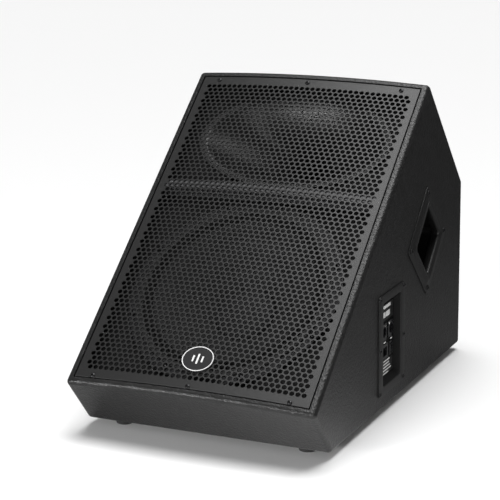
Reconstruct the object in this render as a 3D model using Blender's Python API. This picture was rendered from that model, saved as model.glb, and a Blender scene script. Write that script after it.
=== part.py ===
"""Powered stage monitor wedge with a 15-inch woofer and an elliptical horn.

Frame: +Z up, the sloping grille looks towards -Y and up, +X is the side with the input dish.
The origin is on the floor, under the middle of the cabinet's box.  Metres throughout.
The face has its own coordinates (x, v, w): v runs up the slope, w points out of the face,
and the zero is at the middle of the face's flat edges.
"""
import math

import bmesh
import bpy
import numpy as np
from mathutils import Matrix, Vector

# ---- driving dimensions -------------------------------------------------------------------
WIDTH = 0.464             # across the two side panels
DEPTH = 0.7463            # lowest edge of the face to the back panel
FACE_LENGTH = 0.716       # along the slope
FACE_ANGLE = math.radians(40)
LIP_LENGTH = 0.1135       # short panel square to the face, below it
TOP_SLOPE = math.radians(47.7)
SAG = 0.0105              # how far the middle of the face stands proud of its sides
PLY = 0.018
GAP = 0.0003              # between touching pieces
FOOT_HEIGHT = 0.0125
FOOT_RADIUS = 0.0155

REBATE = 0.0058           # width of the step that the grille's edge rests on
SHEET = 0.002             # grille thickness
SHEET_DROP = 0.0005       # grille surface below the cabinet's edge
SIDE_SHOULDER = -0.0018   # w of the rebate in the flat side panels
BAFFLE_FRONT = -0.026     # w of the baffle's front

WOOFER_V = -0.1215
FRAME_RADIUS = 0.1955
BAFFLE_HOLE = 0.1765
BOLT_CIRCLE = 0.1855
CONE_OUTER = 0.1487
CONE_NECK = 0.0515
CONE_TOP = -0.0178        # w of the cone's outer edge
CONE_DEPTH = 0.078
MAGNET_RADIUS = 0.105

HORN_V = 0.2215
HORN_MOUTH = (0.172, 0.098)     # half axes of the mouth
HORN_SLOT = (0.010, 0.042)
HORN_THROAT = 0.0245
HORN_END = -0.235               # w of the driver flange's rear

HANDLE_Y = 0.5418         # from the face's lowest edge
HANDLE_Z = 0.2685         # above the floor
HANDLE_HALF = 0.0753      # half the side of the square plate, which stands on a corner
DISH_Y = 0.3533
DISH_Z = 0.131
DISH_HALF = (0.065, 0.0925)

# ---- worked out ---------------------------------------------------------------------------
HALF = WIDTH / 2
INNER = HALF - PLY
COS, SIN = math.cos(FACE_ANGLE), math.sin(FACE_ANGLE)
Y_SHIFT = -(DEPTH - SAG * SIN) / 2
FACE_FOOT = Vector((Y_SHIFT, FOOT_HEIGHT + LIP_LENGTH * COS))
FACE_MID = FACE_FOOT + Vector((COS, SIN)) * FACE_LENGTH / 2
FACE_TOP = FACE_FOOT + Vector((COS, SIN)) * FACE_LENGTH
BACK_Y = Y_SHIFT + DEPTH
BACK_TOP = FACE_TOP.y - (BACK_Y - FACE_TOP.x) * math.tan(TOP_SLOPE)
PROFILE = [
    FACE_FOOT,
    FACE_FOOT + Vector((SIN, -COS)) * LIP_LENGTH,
    Vector((BACK_Y, FOOT_HEIGHT)),
    Vector((BACK_Y, BACK_TOP)),
    FACE_TOP,
]
NORMAL = Vector((-SIN, COS))
FACE_MATRIX = (Matrix.Translation((0, FACE_MID.x, FACE_MID.y))
               @ Matrix.Rotation(FACE_ANGLE, 4, 'X'))
OUTWARD = FACE_MATRIX.to_3x3() @ Vector((0, 0, 1))


def clear_scene():
    for item in list(bpy.data.objects):
        bpy.data.objects.remove(item)


def material(name, color, roughness, metallic=0.0):
    made = bpy.data.materials.new(name)
    made.use_nodes = True
    shader = made.node_tree.nodes['Principled BSDF']
    shader.inputs['Base Color'].default_value = (*color, 1.0)
    shader.inputs['Roughness'].default_value = roughness
    shader.inputs['Metallic'].default_value = metallic
    return made


clear_scene()
PAINT = material('black_paint', (0.020, 0.020, 0.021), 0.55)
STEEL_BLACK = material('grille_paint', (0.030, 0.030, 0.031), 0.42, 0.3)
BARE_PLY = material('plywood', (0.42, 0.30, 0.18), 0.7)
CAST = material('cast_frame', (0.045, 0.045, 0.048), 0.45, 0.7)
PLATED = material('plated_steel', (0.55, 0.55, 0.56), 0.3, 1.0)
BLACK_STEEL = material('black_steel', (0.03, 0.03, 0.03), 0.35, 0.8)
PAPER = material('cone_paper', (0.035, 0.035, 0.036), 0.85)
CLOTH = material('surround_cloth', (0.020, 0.020, 0.022), 0.8)
FERRITE = material('ferrite', (0.06, 0.06, 0.065), 0.6)
HORN_PLASTIC = material('horn_plastic', (0.028, 0.028, 0.029), 0.35)
COPPER = material('former', (0.55, 0.33, 0.16), 0.4, 0.6)
RUBBER = material('rubber', (0.015, 0.015, 0.015), 0.8)
PLASTIC = material('dish_plastic', (0.022, 0.022, 0.023), 0.45)
ALUMINIUM = material('heat_sink_aluminium', (0.25, 0.25, 0.26), 0.4, 0.9)
LABEL = material('label', (0.75, 0.75, 0.74), 0.5)
BOARD = material('circuit_board', (0.03, 0.14, 0.06), 0.5)
WADDING = material('wadding', (0.55, 0.56, 0.55), 0.95)
BADGE = material('badge', (0.03, 0.03, 0.032), 0.25, 0.6)


def bow(x):
    """How far the face stands out at x: a parabola, zero at the side panels."""
    return SAG * (1 - (x / HALF) ** 2)


def add(name, verts, faces, mat, matrix=None, smooth=False):
    """A mesh object from points and faces, placed by a matrix, its faces turned outwards."""
    mesh = bpy.data.meshes.new(name)
    mesh.from_pydata([tuple(p) for p in verts], [], faces)
    work = bmesh.new()
    work.from_mesh(mesh)
    bmesh.ops.remove_doubles(work, verts=work.verts, dist=1e-7)
    bmesh.ops.recalc_face_normals(work, faces=work.faces)
    work.to_mesh(mesh)
    work.free()
    if smooth:
        mesh.shade_smooth()
        mesh.set_sharp_from_angle(angle=math.radians(35))
    mesh.materials.append(mat)
    made = bpy.data.objects.new(name, mesh)
    if matrix is not None:
        made.matrix_world = matrix
    bpy.context.scene.collection.objects.link(made)
    return made


def loft(name, rings, mat, matrix=None, closed=False, smooth=False):
    """Skin between rings of equal length: closed joins last to first, else both ends are capped."""
    count = len(rings[0])
    verts = [p for ring in rings for p in ring]
    faces = []
    steps = len(rings) if closed else len(rings) - 1
    for i in range(steps):
        a, b = i * count, ((i + 1) % len(rings)) * count
        for j in range(count):
            k = (j + 1) % count
            faces.append((a + j, a + k, b + k, b + j))
    if not closed:
        faces.append(tuple(range(count)))
        faces.append(tuple(range(len(verts) - count, len(verts))))
    return add(name, verts, faces, mat, matrix, smooth)


def lathe(name, profile, mat, v, segments=36, matrix=None, smooth=True):
    """Turn a closed (radius, w) profile about the face axis at height v; r = 0 points are poles."""
    verts, faces, index = [], [], []
    for radius, w in profile:
        if radius == 0:
            verts.append((0, v, w))
            index.append([len(verts) - 1] * segments)
        else:
            start = len(verts)
            for j in range(segments):
                turn = 2 * math.pi * j / segments
                verts.append((radius * math.cos(turn), v + radius * math.sin(turn), w))
            index.append(list(range(start, start + segments)))
    for i, here in enumerate(index):
        there = index[(i + 1) % len(index)]
        for j in range(segments):
            k = (j + 1) % segments
            corner = []
            for p in (here[j], here[k], there[k], there[j]):
                if p not in corner:
                    corner.append(p)
            if len(corner) > 2:
                faces.append(tuple(corner))
    return add(name, verts, faces, mat, FACE_MATRIX if matrix is None else matrix, smooth)


def prism(name, outline, x_low, x_high, mat):
    """A (y, z) outline carried from x_low to x_high."""
    return loft(name, [[(x, p[0], p[1]) for p in outline] for x in (x_low, x_high)], mat)


def box(name, low, high, mat, matrix=None):
    rings = [[(low[0], low[1], z), (high[0], low[1], z), (high[0], high[1], z), (low[0], high[1], z)]
             for z in (low[2], high[2])]
    return loft(name, rings, mat, matrix)


def cylinder(name, centre, axis, radius, length, mat, segments=12):
    """A rod that starts at centre and runs along axis."""
    turn = Vector(axis).normalized().to_track_quat('Z', 'Y').to_matrix().to_4x4()
    rings = []
    for z in (0, length):
        rings.append([(radius * math.cos(2 * math.pi * j / segments),
                       radius * math.sin(2 * math.pi * j / segments), z) for j in range(segments)])
    return loft(name, rings, mat, Matrix.Translation(centre) @ turn, smooth=True)


def cut(target, *tools):
    """Take the tools away from the target; each tool stays as a hidden guide."""
    for tool in tools:
        modifier = target.modifiers.new(tool.name, 'BOOLEAN')
        modifier.operation = 'DIFFERENCE'
        modifier.solver = 'EXACT'
        modifier.object = tool
        tool.hide_render = True
        tool.display_type = 'WIRE'


def join(target, *tools):
    """Unite the tools with the target; each tool stays as a hidden guide."""
    for tool in tools:
        modifier = target.modifiers.new(tool.name, 'BOOLEAN')
        modifier.operation = 'UNION'
        modifier.solver = 'EXACT'
        modifier.object = tool
        tool.hide_render = True
        tool.display_type = 'WIRE'


def face_point(x, v, w):
    return FACE_MATRIX @ Vector((x, v, w))


def rounded_square(half_y, half_z, radius, steps=3):
    """Points round a rectangle with arcs at its corners, as (y, z) pairs."""
    points = []
    for quarter in range(4):
        turn = quarter * math.pi / 2
        sign_y = 1 if quarter in (0, 3) else -1
        sign_z = 1 if quarter in (0, 1) else -1
        for i in range(steps + 1):
            angle = turn + math.pi / 2 * i / steps
            points.append((sign_y * (half_y - radius) + radius * math.cos(angle),
                           sign_z * (half_z - radius) + radius * math.sin(angle)))
    return points


# ---- cabinet ------------------------------------------------------------------------------
def inset_profile(distance):
    """The cabinet outline moved inwards by a distance, corner by corner."""
    points = []
    for i, here in enumerate(PROFILE):
        before = (here - PROFILE[i - 1]).normalized()
        after = (PROFILE[(i + 1) % len(PROFILE)] - here).normalized()
        in_before = Vector((-before.y, before.x))
        in_after = Vector((-after.y, after.x))
        half = (in_before + in_after).normalized()
        points.append(here + half * distance / half.dot(in_before))
    return points


def panel_outline(i):
    """The mitred section of the panel between corners i and i+1."""
    inner = inset_profile(PLY)
    j = (i + 1) % len(PROFILE)
    along = (PROFILE[j] - PROFILE[i]).normalized() * GAP / 2
    return [PROFILE[i] + along, PROFILE[j] - along, inner[j] - along, inner[i] + along]


def edge_panel(name, outer, far_outer, far_inner, sign):
    """A panel whose front edge follows the bow and carries the grille's rebate."""
    inwards = Vector((COS, SIN)) * sign
    rings = []
    for x in np.linspace(-INNER + GAP, INNER - GAP, 13):
        rise = NORMAL * bow(x)
        shoulder = rise - NORMAL * (SHEET_DROP + SHEET + GAP)
        section = [
            outer + rise,
            outer + rise + inwards * (PLY - REBATE),
            outer + shoulder + inwards * (PLY - REBATE),
            outer + shoulder + inwards * PLY,
            far_inner,
            far_outer,
        ]
        rings.append([(x, p.x, p.y) for p in section])
    return loft(name, rings, PAINT)


def side_panel(name, side):
    panel = prism(name, PROFILE, side * INNER, side * HALF, PAINT)
    step = box(name + '_rebate',
               (side * (INNER - 0.001), -FACE_LENGTH / 2 + PLY - REBATE, SIDE_SHOULDER),
               (side * (INNER + REBATE), FACE_LENGTH / 2 - PLY + REBATE, 0.01), PAINT, FACE_MATRIX)
    hollow = [(HANDLE_Y + Y_SHIFT + y, HANDLE_Z + z)
              for y, z in diamond(0.0616, 0.010)]
    handle_hole = prism(name + '_handle_hole', hollow, side * (INNER - 0.01), side * (HALF + 0.01), PAINT)
    cut(panel, step, handle_hole)
    return panel


def diamond(half, radius):
    """A rounded square of the given half side, standing on a corner."""
    turn = math.radians(45)
    return [(y * math.cos(turn) - z * math.sin(turn), y * math.sin(turn) + z * math.cos(turn))
            for y, z in rounded_square(half, half, radius)]


def cabinet():
    right = side_panel('side_panel_right', 1)
    side_panel('side_panel_left', -1)
    dish_hole = box('dish_hole', (INNER - 0.01, DISH_Y + Y_SHIFT - 0.0500, DISH_Z - 0.0810),
                    (HALF + 0.01, DISH_Y + Y_SHIFT + 0.0500, DISH_Z + 0.0810), PAINT)
    cut(right, dish_hole)
    prism('base_panel', panel_outline(1), -INNER + GAP, INNER - GAP, PAINT)
    back = prism('back_panel', panel_outline(2), -INNER + GAP, INNER - GAP, PAINT)
    window = box('back_window', (-SINK_WINDOW / 2, BACK_Y - 0.03, SINK_Z - 0.100),
                 (SINK_WINDOW / 2, BACK_Y + 0.01, SINK_Z + 0.100), PAINT)
    cut(back, window)
    inner = inset_profile(PLY)
    lip = panel_outline(0)
    top = panel_outline(3)
    lip_panel = edge_panel('front_lip', FACE_FOOT, lip[1], lip[2], 1)
    top_panel = edge_panel('top_panel', FACE_TOP, top[0], top[3], -1)
    low_v = -FACE_LENGTH / 2 + PLY + GAP
    high_v = (inner[4] - FACE_MID).dot(Vector((COS, SIN))) - GAP
    baffle = box('baffle', (-INNER + GAP, low_v, BAFFLE_FRONT - PLY),
                 (INNER - GAP, high_v, BAFFLE_FRONT), BARE_PLY, FACE_MATRIX)
    woofer_hole = lathe('woofer_hole', [(0, -0.06), (BAFFLE_HOLE, -0.06), (BAFFLE_HOLE, 0), (0, 0)],
                        BARE_PLY, WOOFER_V)
    rings = []
    for w in (-0.06, 0.0):
        rings.append([(0.179 * math.cos(2 * math.pi * j / 36),
                       HORN_V + 0.1045 * math.sin(2 * math.pi * j / 36), w) for j in range(36)])
    horn_hole = loft('horn_hole', rings, BARE_PLY, FACE_MATRIX)
    cut(baffle, woofer_hole, horn_hole, *bolt_holes('baffle_bolt_hole', 0.0028))
    box('baffle_brace', (-INNER + GAP, 0.076, -0.160), (INNER - GAP, 0.094, BAFFLE_FRONT - PLY - GAP),
        BARE_PLY, FACE_MATRIX)
    return lip_panel, top_panel


def bolt_holes(name, radius):
    """Eight holes round the woofer, clear of the lip and the cross bar."""
    made = []
    for i in range(8):
        turn = math.radians(22.5 + 45 * i)
        place = face_point(BOLT_CIRCLE * math.cos(turn), WOOFER_V + BOLT_CIRCLE * math.sin(turn), -0.05)
        made.append(cylinder(f'{name}_{i + 1}', place, OUTWARD, radius, 0.04, BARE_PLY, 8))
    return made


# ---- grille -------------------------------------------------------------------------------
BADGE_V = -0.2850
SCREW_X = (-0.183, 0.0, 0.183)
SCREW_V = (-0.3390, 0.3350)


def grille_and_screws(lip_panel, top_panel):
    half_x = INNER + REBATE - GAP
    half_v = FACE_LENGTH / 2 - PLY + REBATE - GAP
    top, bottom = [], []
    for x in np.linspace(-half_x, half_x, 17):
        top.append((x, bow(x) - SHEET_DROP))
        bottom.append((x, bow(x) - SHEET_DROP - SHEET))
    section = top + bottom[::-1]
    sheet = loft('grille', [[(x, v, w) for x, w in section] for v in (-half_v, half_v)],
                 STEEL_BLACK, FACE_MATRIX)
    number = 0
    for v in SCREW_V:
        for x in SCREW_X:
            number += 1
            seat = bow(x) - SHEET_DROP + 0.0004
            hole = cylinder(f'screw_hole_{number}', face_point(x, v, seat - 0.024), OUTWARD,
                            0.0026, 0.04, STEEL_BLACK, 8)
            cut(sheet, hole)
            cut(lip_panel if v < 0 else top_panel, hole)
            head = [(0, seat - 0.020), (0.0021, seat - 0.020), (0.0021, seat), (0.0042, seat),
                    (0.0042, seat + 0.0010), (0.0031, seat + 0.0022), (0, seat + 0.0026)]
            placed = lathe(f'grille_screw_{number}', head, BLACK_STEEL, v, 10)
            placed.matrix_world = FACE_MATRIX @ Matrix.Translation((x, 0, 0))
    rings = []
    for x in np.linspace(-INNER + GAP, INNER - GAP, 13):
        under = bow(x) - SHEET_DROP - SHEET - 2 * GAP
        rings.append([(x, 0.078, BAFFLE_FRONT + GAP), (x, 0.094, BAFFLE_FRONT + GAP),
                      (x, 0.094, under), (x, 0.078, under)])
    loft('grille_cross_bar', rings, PAINT, FACE_MATRIX)
    rings = []
    for w in (bow(0) - SHEET_DROP + GAP, bow(0) - SHEET_DROP + GAP + 0.0018):
        rings.append([(0.030 * math.cos(2 * math.pi * j / 28),
                       BADGE_V + 0.0255 * math.sin(2 * math.pi * j / 28), w) for j in range(28)])
    loft('badge', rings, BADGE, FACE_MATRIX)


# ---- woofer -------------------------------------------------------------------------------
def cone_w(radius):
    """The cone's front surface: steep at the neck, flatter at the edge."""
    part = (radius - CONE_NECK) / (CONE_OUTER - CONE_NECK)
    return CONE_TOP - CONE_DEPTH + CONE_DEPTH * part ** 0.85


def strip(radii, heights, thickness):
    """A closed section from a line of heights and the same line lowered by a thickness."""
    upper = list(zip(radii, heights))
    lower = [(r, h - thickness) for r, h in upper]
    return upper + lower[::-1]


def woofer():
    seat = BAFFLE_FRONT + GAP
    basket = lathe('woofer_frame', [
        (FRAME_RADIUS, seat), (FRAME_RADIUS, -0.0195), (0.1935, -0.0187), (0.1640, -0.0187),
        (0.1640, -0.0230), (0.0980, -0.1125), (0.0860, -0.1125), (0.0860, -0.1300),
        (0.0600, -0.1300), (0.0600, -0.1347), (0.0980, -0.1347), (0.1035, -0.1120),
        (0.1740, -0.0320), (0.1740, seat)], CAST, WOOFER_V)
    windows = []
    for i in range(6):
        turn = Matrix.Rotation(math.radians(60 * i), 4, 'Z')
        place = FACE_MATRIX @ Matrix.Translation((0, WOOFER_V, 0)) @ turn
        windows.append(box(f'frame_window_{i + 1}', (0.08, -0.040, -0.106), (0.19, 0.040, -0.040),
                           CAST, place))
    cut(basket, *windows)
    cut(basket, *bolt_holes('frame_bolt_hole', 0.0028))
    for i in range(8):
        turn = math.radians(22.5 + 45 * i)
        bolt = lathe(f'woofer_bolt_{i + 1}', [
            (0, -0.042), (0.0024, -0.042), (0.0024, -0.0184), (0.0050, -0.0184),
            (0.0050, -0.0142), (0, -0.0142)], BLACK_STEEL, 0, 8)
        bolt.matrix_world = FACE_MATRIX @ Matrix.Translation(
            (BOLT_CIRCLE * math.cos(turn), WOOFER_V + BOLT_CIRCLE * math.sin(turn), 0))
    lathe('woofer_gasket', [(0.1660, -0.0160), (0.1780, -0.0160), (0.1780, -0.0184),
                            (0.1660, -0.0184)], RUBBER, WOOFER_V)
    radii = np.linspace(CONE_OUTER + GAP, 0.1655, 9)
    part = (radii - radii[0]) / (radii[-1] - radii[0])
    rolls = -0.0176 + 0.0042 * np.abs(np.sin(2 * math.pi * part))
    lathe('woofer_surround', strip(radii, rolls, 0.0008), CLOTH, WOOFER_V)
    radii = np.linspace(CONE_OUTER, CONE_NECK, 6)
    lathe('woofer_cone', strip(radii, [cone_w(r) for r in radii], 0.0012), PAPER, WOOFER_V)
    rim = 0.0550
    dome = [(rim * math.cos(a), cone_w(rim) + GAP + 0.016 * math.sin(a))
            for a in np.linspace(0, math.pi / 2, 5)[:-1]]
    peak = cone_w(rim) + GAP + 0.016
    lathe('dust_cap', dome + [(0, peak)] + [(0, peak - 0.0008)]
          + [(r * 0.985, w - 0.0006 * i / 3) for i, (r, w) in reversed(list(enumerate(dome)))],
          PAPER, WOOFER_V)
    lathe('coil_former', [(0.0500, -0.0975), (0.0512, -0.0975), (0.0512, -0.1500), (0.0500, -0.1500)],
          COPPER, WOOFER_V)
    radii = np.linspace(0.0520, 0.0940, 8)
    waves = -0.1110 + 0.0016 * np.cos(np.linspace(0, 7 * math.pi, 8))
    waves[radii > 0.0840] = -0.1115
    lathe('spider', strip(radii, waves, 0.0006), CLOTH, WOOFER_V)
    lathe('top_plate', [(0.0535, -0.1350), (0.0950, -0.1350), (0.0950, -0.1430), (0.0535, -0.1430)],
          PLATED, WOOFER_V)
    lathe('magnet_ring', [(0.0600, -0.1433), (MAGNET_RADIUS, -0.1433), (MAGNET_RADIUS, -0.1650),
                          (0.0600, -0.1650)], FERRITE, WOOFER_V)
    lathe('back_plate_and_pole', [
        (0.0120, -0.1350), (0.0485, -0.1350), (0.0485, -0.1653), (0.0980, -0.1653),
        (0.0980, -0.1750), (0.0120, -0.1750)], PLATED, WOOFER_V)


# ---- horn ---------------------------------------------------------------------------------
def horn_section(part):
    """Half axes and w of the horn's bore: mouth at 0, slot at 0.62, round throat at 1."""
    w = -0.0235 + part * (HORN_END + 0.0235)
    if part <= 0.62:
        k = 1 - part / 0.62
        return (HORN_SLOT[0] + (HORN_MOUTH[0] - HORN_SLOT[0]) * k ** 1.35,
                HORN_SLOT[1] + (HORN_MOUTH[1] - HORN_SLOT[1]) * k ** 1.15, w)
    k = (part - 0.62) / 0.38
    k = k * k * (3 - 2 * k)
    return (HORN_SLOT[0] + (HORN_THROAT - HORN_SLOT[0]) * k,
            HORN_SLOT[1] + (HORN_THROAT - HORN_SLOT[1]) * k, w)


def ellipse_ring(half_x, half_v, w, v, count=36):
    return [(half_x * math.cos(2 * math.pi * j / count),
             v + half_v * math.sin(2 * math.pi * j / count), w) for j in range(count)]


def horn():
    wall = 0.004
    parts = [0, 0.10, 0.24, 0.40, 0.54, 0.64, 0.82, 1.0]
    inner = [ellipse_ring(*horn_section(t), HORN_V) for t in parts]
    outer = []
    for t in reversed(parts[1:-2]):
        a, b, w = horn_section(t)
        outer.append(ellipse_ring(a + wall, b + wall, w - 0.001, HORN_V))
    neck = (HORN_MOUTH[0] + wall, HORN_MOUTH[1] + wall)
    seat = BAFFLE_FRONT + GAP
    rear_flange = [ellipse_ring(0.062, 0.062, HORN_END, HORN_V),
                   ellipse_ring(0.062, 0.062, HORN_END + 0.006, HORN_V),
                   ellipse_ring(HORN_THROAT + wall, HORN_THROAT + wall, HORN_END + 0.006, HORN_V)]
    flange = [ellipse_ring(*neck, seat, HORN_V),
              ellipse_ring(0.190, 0.1115, seat, HORN_V),
              ellipse_ring(0.190, 0.1115, -0.0225, HORN_V),
              ellipse_ring(0.188, 0.1100, -0.0215, HORN_V),
              ellipse_ring(HORN_MOUTH[0] + 0.003, HORN_MOUTH[1] + 0.003, -0.0215, HORN_V)]
    loft('horn', inner + rear_flange + outer + flange, HORN_PLASTIC, FACE_MATRIX, closed=True,
         smooth=True)
    front = HORN_END - GAP
    lathe('hf_driver', [(0, -0.302), (0.088, -0.302), (0.088, -0.252), (0.074, front),
                        (HORN_THROAT, front), (HORN_THROAT, -0.262), (0, -0.262)], FERRITE, HORN_V)
    lathe('hf_driver_cap', [(0, -0.322), (0.060, -0.322), (0.066, -0.316), (0.066, -0.3023),
                            (0, -0.3023)], PLASTIC, HORN_V)


# ---- handles and feet ---------------------------------------------------------------------
def handle_cup(name, side):
    """A square plate on its corner with an undercut cup: rings of (half side, x past the panel)."""
    rings = []
    for half, out, radius in (
            (0.0500, -0.0500, 0.016), (0.0560, -0.0470, 0.016), (0.0580, -0.0180, 0.014),
            (0.0465, -0.0130, 0.009), (0.0465, 0.0015, 0.009), (0.0535, 0.0055, 0.010),
            (0.0560, 0.0055, 0.010), (0.0620, 0.0018, 0.011), (0.0745, 0.0018, 0.009),
            (HANDLE_HALF, 0.0010, 0.010), (HANDLE_HALF, GAP, 0.010),
            (0.0612, GAP, 0.0096), (0.0612, -0.0050, 0.0096), (0.0585, -0.0480, 0.018),
            (0.0520, -0.0525, 0.018)):
        rings.append([(side * (HALF + out), HANDLE_Y + Y_SHIFT + y, HANDLE_Z + z)
                      for y, z in diamond(half, radius)])
    return loft(name, rings, PLASTIC)


def feet():
    front = PROFILE[1].x + 0.033
    rear = BACK_Y - 0.045
    for end, y in (('front', front), ('rear', rear)):
        for side, x in (('left', -0.175), ('right', 0.175)):
            profile = [(0.0050, FOOT_HEIGHT - GAP), (0.0050, 0.0060), (0.0045, 0.0050), (0.0045, 0),
                       (FOOT_RADIUS - 0.0015, 0), (FOOT_RADIUS, 0.0015),
                       (FOOT_RADIUS + 0.0010, FOOT_HEIGHT - GAP)]
            lathe(f'foot_{end}_{side}', profile, RUBBER, 0, 20, Matrix.Translation((x, y, 0)))


# ---- input dish ---------------------------------------------------------------------------
DISH_FLOOR = -0.010       # the floor's surface, past the side panel's face
FLOOR_PLATE = 0.0025
INPUT_AT = (-0.0140, 0.0150)
LATCH_AT = (-0.0140, 0.0275)
LATCH_HALF = (0.0030, 0.0012)
LATCH_HOLE = (0.0034, 0.0016)
OUTPUT_AT = (0.0195, 0.0150)
INLET_AT = (-0.0130, -0.0215)
ROCKER_AT = (0.0220, -0.0215)
ROCKER_PIVOT = -0.0016    # past the dish floor
ROCKER_REST = math.radians(9)   # tilted to its off position
PIN_RADIUS = 0.0010
PIN_HALF = 0.0061         # half the length of the rocker's pin, which ends inside the housing's wall


def dish_box(name, at, half_y, half_z, out_low, out_high, mat):
    """A block on the dish floor; at is the place of its middle, half_y and half_z its size."""
    y, z = DISH_Y + Y_SHIFT + at[0], DISH_Z + at[1]
    return box(name, (HALF + out_low, y - half_y, z - half_z), (HALF + out_high, y + half_y, z + half_z),
               mat)


def dish_rod(name, at, radius, out_low, out_high, mat, segments=20):
    place = (HALF + out_low, DISH_Y + Y_SHIFT + at[0], DISH_Z + at[1])
    return cylinder(name, place, (1, 0, 0), radius, out_high - out_low, mat, segments)


def socket(name, at):
    """A flanged round socket: its barrel passes through the floor, its bore is open in front."""
    front = DISH_FLOOR + GAP
    body = dish_box(name, at, 0.0130, 0.0155, front, front + 0.0020, PLASTIC)
    barrel = dish_rod(name + '_barrel', at, 0.0115, DISH_FLOOR - 0.0220, front + 0.0010, PLASTIC)
    bore = dish_rod(name + '_bore', at, 0.0094, DISH_FLOOR - 0.0120, front + 0.01, PLASTIC)
    join(body, barrel)
    cut(body, bore)
    return body


def input_dish():
    rings = []
    for half_y, half_z, out, radius in (
            (0.0385, 0.0677, DISH_FLOOR, 0.004), (0.0455, 0.0772, 0.0012, 0.007),
            (0.0465, 0.0782, 0.0022, 0.007), (DISH_HALF[0] - 0.0008, DISH_HALF[1] - 0.0008, 0.0022, 0.007),
            (DISH_HALF[0], DISH_HALF[1], 0.0014, 0.008), (DISH_HALF[0], DISH_HALF[1], GAP, 0.008),
            (0.0492, 0.0802, GAP, 0.008), (0.0480, 0.0790, -0.0020, 0.008),
            (0.0400, 0.0712, DISH_FLOOR - FLOOR_PLATE, 0.006)):
        rings.append([(HALF + out, DISH_Y + Y_SHIFT + y, DISH_Z + z)
                      for y, z in rounded_square(half_y, half_z, radius)])
    dish = loft('input_dish', rings, PLASTIC)
    through = (DISH_FLOOR - 0.01, DISH_FLOOR + 0.005)
    cut(dish,
        dish_rod('input_hole', INPUT_AT, 0.0118, *through, PLASTIC),
        dish_rod('output_hole', OUTPUT_AT, 0.0118, *through, PLASTIC),
        dish_box('latch_hole', LATCH_AT, *LATCH_HOLE, *through, PLASTIC),
        dish_box('inlet_hole', INLET_AT, 0.0148, 0.0108, *through, PLASTIC),
        dish_box('rocker_hole', ROCKER_AT, 0.0068, 0.0103, *through, PLASTIC))

    input_socket = socket('input_socket', INPUT_AT)
    socket('loop_socket', OUTPUT_AT)
    cut(input_socket, dish_box('latch_slot', LATCH_AT, *LATCH_HOLE, DISH_FLOOR - 0.0015, 0.0, PLASTIC))
    dish_box('input_latch', LATCH_AT, *LATCH_HALF, DISH_FLOOR + 0.0012, DISH_FLOOR + 0.0048, PLASTIC)

    front = DISH_FLOOR + GAP
    inlet = dish_box('power_inlet', INLET_AT, 0.0178, 0.0138, front, front + 0.0022, PLASTIC)
    join(inlet, dish_box('inlet_body', INLET_AT, 0.0144, 0.0104, DISH_FLOOR - 0.0230, front + 0.0010,
                         PLASTIC))
    cut(inlet, dish_box('inlet_recess', INLET_AT, 0.0122, 0.0082, DISH_FLOOR - 0.0150, 0.005, PLASTIC))

    housing = dish_box('rocker_housing', ROCKER_AT, 0.0088, 0.0128, front, front + 0.0018, PLASTIC)
    join(housing, dish_box('rocker_body', ROCKER_AT, 0.0064, 0.0100, DISH_FLOOR - 0.0150,
                           front + 0.0008, PLASTIC))
    outline = [(-0.0030, -0.0045), (-0.0010, -0.0077), (0.0044, -0.0078), (0.0018, 0.0),
               (0.0044, 0.0078), (-0.0010, 0.0077), (-0.0030, 0.0045)]
    pivot = Vector((HALF + DISH_FLOOR + ROCKER_PIVOT, DISH_Y + Y_SHIFT + ROCKER_AT[0],
                    DISH_Z + ROCKER_AT[1]))
    rings = [[(out, side * 0.0046, up) for out, up in outline] for side in (-1, 1)]
    rocker = loft('power_rocker', rings, PLASTIC,
                  Matrix.Translation(pivot) @ Matrix.Rotation(ROCKER_REST, 4, 'Y'))
    pin_end, hole_end = Vector((0, PIN_HALF, 0)), Vector((0, PIN_HALF + 0.001, 0))
    join(rocker, cylinder('rocker_pin', pivot - pin_end, (0, 1, 0), PIN_RADIUS, 2 * PIN_HALF, PLASTIC, 20))
    cut(housing,
        dish_box('rocker_well', ROCKER_AT, 0.0052, 0.0088, DISH_FLOOR - 0.0090, 0.005, PLASTIC),
        cylinder('pin_holes', pivot - hole_end, (0, 1, 0), PIN_RADIUS + GAP, 2 * hole_end.y, PLASTIC, 20))

    dish_box('upper_label', (0.0, 0.0500), 0.0330, 0.0150, front, front + 0.0008, LABEL)
    dish_box('rating_label', (0.0, -0.0520), 0.0330, 0.0140, front, front + 0.0008, LABEL)


# ---- amplifier ----------------------------------------------------------------------------
SINK_Z = 0.150
SINK_WINDOW = 0.250
FIN_COUNT = 15


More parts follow.
